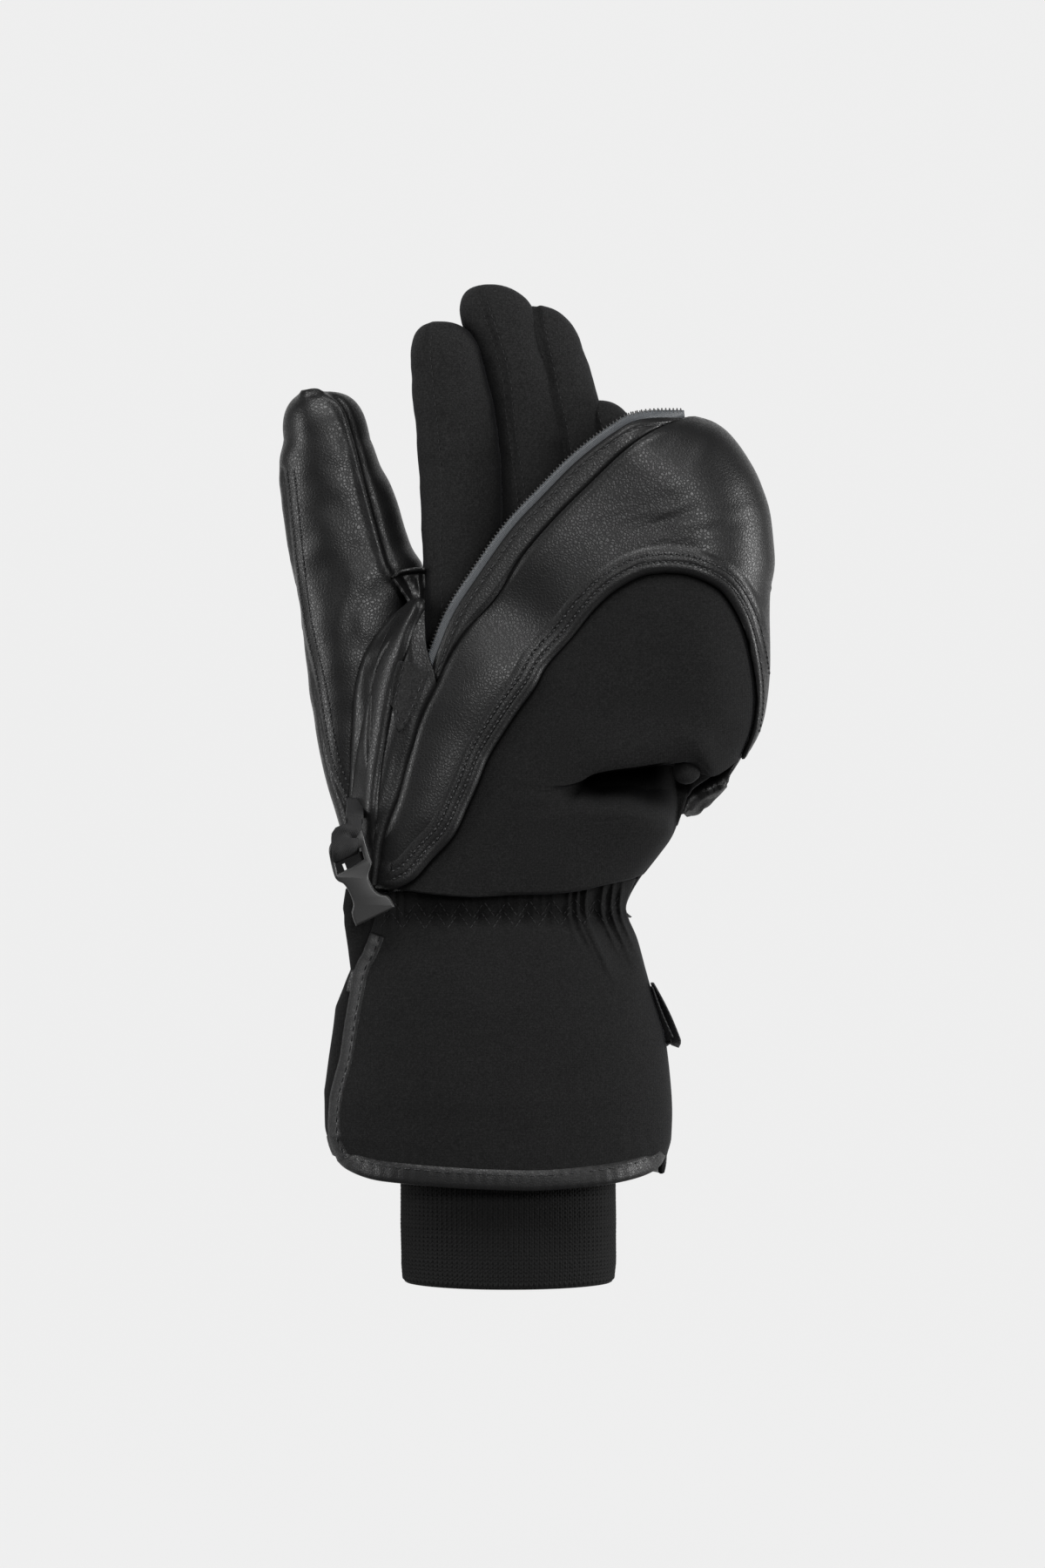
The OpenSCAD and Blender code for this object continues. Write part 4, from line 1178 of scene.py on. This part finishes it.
def coil(name, path, out, y, side):
    """Coil teeth beside a path in X and Z, at depths y; side is 1 on the back edge and -1 on the palm edge."""
    dist = arc_length(path)
    parts = []
    for a in np.arange(0, dist[-1], COIL_PITCH):
        x, z = read_at(a, dist, path)
        ox, oz = read_at(a, dist, out)
        base = np.array([x + ox * 2.0, np.interp(a, dist, y), z + oz * 2.0])
        loop = np.array([base + [ox * c, side * d, oz * c] for c, d in COIL_LOOP])
        parts.append(sweep(loop, ring(0.26, 5), (oz, 0, -ox)))
    return mesh_piece(name, *joined(parts), COIL, "zip_coil")


def make_zip():
    """Tape and coil along both edges of the hood's opening."""
    path = spline(ZIP_EDGE, 220)
    out = left_of(path)
    y = -half_depth(path, False)
    p = np.stack([to3(path + out * (-1.6 + 4.2 * s), y + 1.0 + 0.55 * np.cos(s * np.pi) + 1.2 * s**2)
                  for s in np.linspace(0, 1, 9)], 1)
    tape_back = shell("zip_tape_back_edge", p, 0.5, TAPE, "zip_tape")
    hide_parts("zip_tape_back")
    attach(tape_back, "hood")
    coil_back = coil("zip_coil_back_edge", path, out, y + 2.4, 1)
    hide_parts("zip_coil_back")
    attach(coil_back, "hood")
    path = spline(PALM_LEFT[9:], 200)
    out = left_of(path)
    y = half_depth(path, False)
    p = np.stack([to3(path + out * (-1.5 + 3.2 * s), y - 1.1 + 0.3 * s) for s in np.linspace(0, 1, 7)], 1)
    tape_palm = shell("zip_tape_palm_edge", p, 0.5, TAPE, "zip_tape", flip=True)
    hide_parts("zip_tape_palm")
    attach(tape_palm, "hood")
    coil_palm = coil("zip_coil_palm_edge", path, out, y - 1.5, -1)
    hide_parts("zip_coil_palm")
    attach(coil_palm, "hood")


def make_lower_tape():
    """The short stretch of palm-side tape that shows above the garage."""
    q = between([(-33.4, 198.4), (-33, 200.6), (-31.6, 204.8), (-28.4, 212.2)],
                [(-29.4, 196.6), (-28.6, 200.2), (-27.4, 204.3), (-26.9, 212.6)], 34, 12)
    y = 15.2 - 2.6 * np.linspace(0, 1, 34)[:, None] + 0.5 * np.sin(np.linspace(0, 5, 12))[None, :]
    obj = shell("zip_tape_lower", to3(q, -y), 0.5, TAPE_PALE, "zip_tape", flip=True)
    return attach(obj, "hand")


def make_garage(*under):
    """Cloth cover over the zip's lower end, held by a U of stitches."""
    tree = tree_of(*under)
    q = patch([(-37, 186), (-34.6, 177.6), (-30.6, 183)], [(-34.6, 199.4), (-30.5, 198.8), (-25.4, 196.6)],
              [(-37, 186), (-36.4, 193), (-34.6, 199.4)], [(-30.6, 183), (-28, 189), (-25.4, 196.6)], 34, 34)
    pts, _ = laid_on(tree, q.reshape(-1, 2))
    if len(pts) != q.shape[0] * q.shape[1]:
        p = to3(q, -half_depth(q, False) - 0.6)
    else:
        p = pts.reshape(34, 34, 3).copy()
        for _ in range(3):
            p[1:-1, 1:-1, 1] = (p[:-2, 1:-1, 1] + p[2:, 1:-1, 1] + p[1:-1, :-2, 1] + p[1:-1, 2:, 1]) / 4
        p[..., 1] -= 1.1
    obj = shell("zip_garage_cloth", p, 0.9, GARAGE, "softshell")
    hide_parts("zip_garage")
    line = spline([(-33.2, 198.5), (-35.4, 190), (-35.6, 184.5), (-34.2, 179.8), (-31.8, 182), (-29.6, 187.5),
                   (-26.6, 195.4)], 90)
    row = row_on(tree_of(obj), line, long=1.9, gap=0.9, r=0.2)
    on_hood_line(obj)
    thread("zip_garage_stitching", [row], on_hood_line)


def make_crotch():
    """Pocket of folded leather where the thumb meets the hand, under the edge of the thumb's inner side."""
    nu, nv = 46, 40
    q = patch([(-30.6, 218.2), (-28.8, 217.4), (-26.8, 217)],
              [(-37.2, 227), (-33.9, 228.3), (-31, 228.8), (-26.8, 229)],
              [(-30.6, 218.2), (-33.9, 222.9), (-37.2, 227)], [(-26.8, 217), (-26.6, 223), (-26.8, 229)], nu, nv)
    u, v = np.linspace(0, 1, nu)[:, None], np.linspace(0, 1, nv)[None, :]
    y = 8.8 - 2.6 * smooth(0.04, 0.34, u) * smooth(0.02, 0.5, v) * (1 - smooth(0.93, 1.0, v)) + 0 * u
    y = y + 0.9 * bell(v - 0.98, 0.03) + 0.9 * bell(u, 0.07)
    y = y - 1.5 * smooth(0.7, 1, u) + 0.5 * bumps(q, (3, 6), 3.0)
    pocket = shell("crotch_pocket", to3(q, -y), 1.2, LEATHER, "leather")
    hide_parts("crotch_fold")
    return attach(pocket, "hand")


def evaluated(obj):
    """New mesh of an object with its bevels and modifiers applied."""
    bpy.context.view_layer.update()
    return bpy.data.meshes.new_from_object(obj.evaluated_get(bpy.context.evaluated_depsgraph_get()))


def plate(name, outlines, thick, edge, material):
    """Moulded plate with rounded edges from outlines in its own X and Z; the first is the outside."""
    curve = bpy.data.curves.new(name, "CURVE")
    curve.dimensions = "2D"
    curve.fill_mode = "BOTH"
    curve.extrude = (thick / 2 - edge) * MM
    curve.bevel_depth = edge * MM
    curve.bevel_resolution = 4
    curve.offset = -edge * MM
    for pts in outlines:
        s = curve.splines.new("POLY")
        s.points.add(len(pts) - 1)
        s.use_cyclic_u = True
        for k, (x, z) in enumerate(pts):
            s.points[k].co = (x * MM, z * MM, 0, 1)
    drawn = add_object(name + "_curve", curve)
    data = evaluated(drawn)
    bpy.data.objects.remove(drawn)
    for v in data.vertices:
        v.co = Vector((v.co.x, -v.co.z, v.co.y))
    data.name = name
    obj = add_object(name, data)
    data.materials.clear()
    data.materials.append(material)
    return obj


CLIP_Y = -22.6
CLIP_LEAN = math.radians(21)
CLIP_OUTLINE = [(-51.0, 146.6), (-54.63, 143.6), (-56.2, 141.9), (-56.8, 140), (-56.6, 137.9), (-55.9, 134.5),
                (-54.9, 131.2), (-53.8, 129.9), (-52.2, 129.1), (-50.8, 127.2), (-49.8, 125.1), (-49.15, 122.8),
                (-49.35, 121.1), (-49.6, 119.9), (-49.1, 117.9), (-48.2, 115.7)]
CLIP_RIGHT = [(-35.9, 121.7), (-37.0, 123.9), (-38.3, 125.3), (-40.2, 125.7), (-42.2, 127.1), (-43.6, 129.4),
              (-44.3, 131.3), (-43.9, 133.4), (-43.2, 135.7), (-43.7, 137.2), (-45.0, 141.4), (-45.8, 144.6),
              (-46.4, 146.6), (-47.6, 147.6), (-49.4, 147.4)]
CLIP_SLOT = [(-55.2, 137.3), (-51.3, 138.9), (-46.7, 140.6), (-45.7, 136.9), (-49.6, 134.4), (-54.0, 132.3)]

CLIP_WINDOW = [[(-56.0, 136.4), (-51.3, 138.0), (-46.0, 139.6), (-45.0, 136.6), (-49.6, 133.8), (-54.6, 131.6)],
               [(-51.0, 133.2), (-51.8, 132.9), (-52.7, 135.2), (-51.9, 135.6)]]


def make_clip():
    """Clip socket, its folded webbing loop and the loop's sewn end."""
    outline = np.vstack([curve_at(CLIP_OUTLINE, np.linspace(0, 1, 64)),
                         curve_at(CLIP_RIGHT, np.linspace(0, 1, 56))])
    obj = plate("clip_socket_body", [outline, CLIP_SLOT[::-1]], 4.8, 0.7, PLASTIC)
    for v in obj.data.vertices:
        v.co.y += CLIP_Y * MM
    mouth = add_object("cut", bpy.data.meshes.new("cut"))
    bm = bmesh.new()
    bmesh.ops.create_cube(bm, size=1)
    bmesh.ops.scale(bm, vec=(9.6 * MM, 3.0 * MM, 13 * MM), verts=bm.verts)
    bmesh.ops.rotate(bm, matrix=Matrix.Rotation(-CLIP_LEAN, 3, "Y"), verts=bm.verts)
    bmesh.ops.translate(bm, vec=(-42.4 * MM, CLIP_Y * MM, 119.6 * MM), verts=bm.verts)
    bm.to_mesh(mouth.data)
    bm.free()
    cut = obj.modifiers.new("mouth", "BOOLEAN")
    cut.object = mouth
    cut.solver = "EXACT"
    done = evaluated(obj)
    obj.modifiers.clear()
    obj.data = done
    bpy.data.objects.remove(mouth)
    obj.data.materials.clear()
    obj.data.materials.append(PLASTIC)
    obj.data.polygons.foreach_set("use_smooth", [True] * len(obj.data.polygons))
    smooth_by_angle(obj, 32)
    # the bar swells forward and back between the arms
    for v in obj.data.vertices:
        x, z = v.co.x / MM, v.co.z / MM
        along = (x + 51) * math.sin(CLIP_LEAN) - (z - 141.6) * math.cos(CLIP_LEAN)
        v.co.y += (1 if v.co.y / MM > CLIP_Y else -1) * 0.5 * math.exp(-(along / 2.6) ** 2) * MM
    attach(obj, "socket")
    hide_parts("clip_socket")
    window = plate("clip_window_back", CLIP_WINDOW, 1.2, 0.1, WEBBING)
    for v in window.data.vertices:
        v.co.y += (CLIP_Y + 1.2) * MM
    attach(window, "loop")
    # webbing: from the seam, forward over the bar, round it and up behind
    front = [(-2.2 - 1.9 * smooth(0, 0.5, k), 9.4 - 9.0 * k) for k in np.linspace(0, 1, 20)[:-1]]
    turn = [(-0.2 - 3.9 * math.cos(a), 0.4 - 3.7 * math.sin(a)) for a in np.linspace(0.0, np.pi - 0.1, 20)]
    behind = [(3.6 - 2.2 * k, 0.9 + 7.5 * k) for k in np.linspace(0, 1, 12)[1:]]
    route = np.array(front + turn + behind)
    near_bar = 1 - smooth(3.2, 6.4, route[:, 1])
    path = np.stack([-48.6 - 3.1 * near_bar, CLIP_Y + route[:, 0], 140.9 + route[:, 1]], 1)
    t = tangents(path)
    wide = np.stack([1 + 0 * near_bar, 0.25 + 0 * near_bar, 0.42 * near_bar], 1)
    wide = unit(wide - t * (wide * t).sum(1, keepdims=True))
    across = np.cross(t, wide)
    prof = np.array([(-0.92, -0.45), (-1, 0), (-0.92, 0.45), (-0.4, 0.52), (0.4, 0.52), (0.92, 0.45), (1, 0),
                     (0.92, -0.45), (0.4, -0.52), (-0.4, -0.52)])
    half = 2.2 + 2.2 * near_bar
    rings = (path[:, None] + wide[:, None] * (prof[:, 0][None, :, None] * half[:, None, None])
             + across[:, None] * prof[:, 1][None, :, None])
    faces = tube_faces(len(path), len(prof), True)
    loop = mesh_piece("webbing_loop", rings.reshape(-1, 3), faces, WEBBING, "webbing")
    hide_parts("web_loop")
    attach(loop, "loop")
    path = np.stack([np.linspace(-48.8, -48.6, 10), np.linspace(-22.4, -14, 10), np.linspace(149.4, 155, 10)], 1)
    end = sweep(path, [(-2.5, -1.6), (-2.9, 0), (-2.5, 1.6), (2.5, 1.6), (2.9, 0), (2.5, -1.6)], (0, -1, 0))
    anchor = mesh_piece("webbing_end", *end, WEBBING, "webbing")
    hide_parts("web_anchor")
    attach(anchor, "hand")


def smooth_by_angle(obj, degrees):
    """Keep the moulded edges crisp where faces meet at more than the angle."""
    bm = bmesh.new()
    bm.from_mesh(obj.data)
    limit = math.radians(degrees)
    for e in bm.edges:
        if len(e.link_faces) == 2 and e.calc_face_angle(0) > limit:
            e.smooth = False
    bm.to_mesh(obj.data)
    bm.free()


def make_tab():
    """Ribbon folded into a loop at the gauntlet's outer side, its free end turned a little to the front."""
    s = np.linspace(0, 1, 22)
    outer = np.stack([46.2 + 6.4 * s + 0.5 * np.sin(np.pi * s), 0 * s, 96.8 - 18.6 * s], 1)
    inner = np.stack([45.8 + 4.6 * s - 0.4 * np.sin(np.pi * s), 0 * s, 95.6 - 16.6 * s], 1)
    a = np.linspace(0, 1, 9)[1:-1]
    turn = curve_at([outer[-1], outer[-1] + [-0.25, 0, -0.9], inner[-1] + [0.6, 0, -1.2], inner[-1]], a)
    path = np.vstack([outer, turn, inner[::-1]])
    twist = np.radians(30) * np.clip((96.8 - path[:, 2]) / 18.6, 0, 1) + 0.05
    wide = np.stack([np.sin(twist), -np.cos(twist), 0 * twist], 1)
    prof = [(-4.7, -0.3), (-5, 0), (-4.7, 0.3), (0, 0.36), (4.7, 0.3), (5, 0), (4.7, -0.3), (0, -0.36)]
    obj = mesh_piece("pull_tab_ribbon", *sweep(path, prof, np.cross(wide, tangents(path))), RIBBON, "ribbon")
    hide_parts("pull_tab")
    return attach(obj, "tab")


def make_side_tab():
    q = patch([(-51.8, 94.5), (-50.2, 94.2), (-48.4, 95)], [(-50.6, 100.6), (-49.2, 101), (-47.4, 100.6)],
              [(-51.8, 94.5), (-51.5, 97), (-50.6, 100.6)], [(-48.4, 95), (-48, 97.5), (-47.4, 100.6)], 14, 20)
    y = 6.0 + 2.2 * np.linspace(0, 1, 14)[:, None] + 0 * q[..., 0]
    obj = shell("side_tab_leather", to3(q, -y), 1.0, LEATHER_BIND, "leather")
    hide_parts("side_tab")
    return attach(obj, "hand")


def make_hood_fleece():
    """Fleece inside the hood, back and palm side."""
    back = [(-10, 180), (-8, 198), (-2, 215), (8, 232), (20, 248), (36, 262), (50, 269)]
    palm = [(12, 180), (12, 199), (14, 222), (19, 238), (29, 251), (42, 261), (52, 266)]
    hi = spline([(58, 178), (66, 182), (73, 194), (75, 215), (75, 235), (70, 254), (59, 268)], 80)
    for side, name, low in ((-1, "hood_fleece_back", back), (1, "hood_fleece_palm", palm)):
        u = np.linspace(0, 1, 44)[:, None, None]
        q = spline(low, 80)[None] * (1 - u) + hi[None] * u
        y = half_depth(q, False) - (3.0 if side < 0 else 2.1)
        y += 0.3 * bumps(q, (6, 6), 40.0, 1)
        obj = shell(name, to3(q, side * y), 1.2 if side < 0 else 0.7, FLEECE, "fleece", flip=side > 0)
        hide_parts("hood_lining")
        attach(obj, "hood")


def make_seam_threads(hood, strip):
    """Topstitching on the hood: two rows beside the cloth seam and one along the zip."""
    tree = tree_of(hood)
    line = np.vstack([spline(SEAM_UP, 260), spline(SEAM_DOWN, 150)[1:]])
    out = averaged(left_of(line), 5)
    rows, holes = [], []
    for off in (2.4, 4.9):
        pts, nrm = laid_on(tree, line[8:] + off * out[8:])
        rows.append(stitch_row(pts, nrm, long=1.25, gap=0.65, r=0.3))
        holes.append(needle_hole_shade(pts, nrm, 1.9, 0.42, 0.3 + 1.25 + 0.325))
    thread("hood_seam_stitching", rows, on_hood_line)
    # near-black discs at the stitches: painted shade of the needle holes
    on_hood_line(mesh_piece("hood_seam_holes", *joined(holes), HOLE_SHADE, "webbing"))
    edge = spline(ZIP_EDGE, 260)
    row = row_on(tree_of(strip), edge - 2.1 * left_of(edge), long=2.1, gap=1.0, r=0.26)
    thread("hood_zip_stitching", [row], lambda o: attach(o, "hood"))


# ---------------------------------------------------------------- build

make_back_cloth()
make_fold_tuck()
hood = make_hood_leather()
strip = make_strip()
side = make_index_side()
for finger in FINGERS:
    make_finger(finger)
make_thumb()
make_inner_hand()
make_palm()
make_palm_facing()
make_patch()
gaunt = make_gauntlet_back()
gaunt_palm, palm_grid = make_gauntlet_palm()
make_bindings(gaunt, palm_grid)
make_elastic()
make_zigzag(gaunt, gaunt_palm)
make_cuff()
make_zip()
make_lower_tape()
make_garage(side, strip)
make_crotch()
make_clip()
make_tab()
make_side_tab()
make_hood_fleece()
make_seam_threads(hood, strip)

CAD_LOOKS = {"membrane": FILM, "hand_lining": FLEECE, "wrist_elastic": ELASTIC, "zip_stop": COIL,
             "zip_slider": METAL, "zip_puller": METAL}
for name, look in CAD_LOOKS.items():
    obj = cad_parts[name]
    obj.data.materials.clear()
    obj.data.materials.append(look)


# ---------------------------------------------------------------- stage

def make_stage():
    """Pale seamless floor and backdrop."""
    paper = Look("paper_pale", Base_Color=(0.02, 0.02, 0.02, 1), Roughness=1.0, Specular_IOR_Level=0.0,
                 Emission_Color=(1, 1, 1, 1), Emission_Strength=0.845)
    pts = [(0.1, -0.12), (0.8, -0.12), (1.3, -0.08), (1.75, 0.1), (2.1, 0.45), (2.2, 1.2), (2.2, 3.0)]
    prof = curve_at(pts, np.linspace(0, 1, 50))
    verts = [(x, y, z) for y, z in prof for x in (-2.6, 2.6)]
    faces = [(2 * k, 2 * k + 1, 2 * k + 3, 2 * k + 2) for k in range(len(prof) - 1)]
    data = bpy.data.meshes.new("backdrop")
    data.from_pydata(verts, [], faces)
    data.polygons.foreach_set("use_smooth", [True] * len(faces))
    data.materials.append(paper.material)
    obj = add_object("backdrop", data)


def lamp(name, at, aim, size, watts):
    data = bpy.data.lights.new(name, "AREA")
    data.shape = "RECTANGLE"
    data.size, data.size_y = size
    data.energy = watts
    obj = add_object(name, data)
    obj.location = at
    obj.rotation_euler = (Vector(aim) - Vector(at)).to_track_quat("-Z", "Y").to_euler()


make_stage()
lamp("strip_left", (-1.45, -0.45, 0.35), (0, 0, 0.17), (0.4, 1.0), 12)
lamp("strip_right", (1.45, -0.25, 0.2), (0, 0, 0.17), (0.4, 1.0), 20)
lamp("top_soft", (-0.1, -1.0, 1.55), (0, 0, 0.15), (1.0, 0.7), 19)
lamp("front_soft", (0.5, -1.9, 0.62), (0, 0, 0.17), (0.42, 0.36), 13)
world = bpy.data.worlds.new("studio")
bpy.context.scene.world = world
world.use_nodes = True
sky = world.node_tree.nodes["Background"].inputs
sky["Color"].default_value = (1, 1, 1, 1)
sky["Strength"].default_value = 0.16

cam_data = bpy.data.cameras.new("camera")
cam_data.sensor_width = 36
CAM_FAR = 1.6           # distance from the glove's middle plane, metres
VIEW_H = 0.504          # height of the picture at that plane
cam_data.lens = 36 * CAM_FAR / VIEW_H
cam = add_object("camera", cam_data)
cam.location = (0.0045, -CAM_FAR, 0.1607)
cam.rotation_euler = (math.pi / 2, 0, 0)
bpy.context.scene.camera = cam
bpy.context.scene.view_settings.view_transform = "Standard"
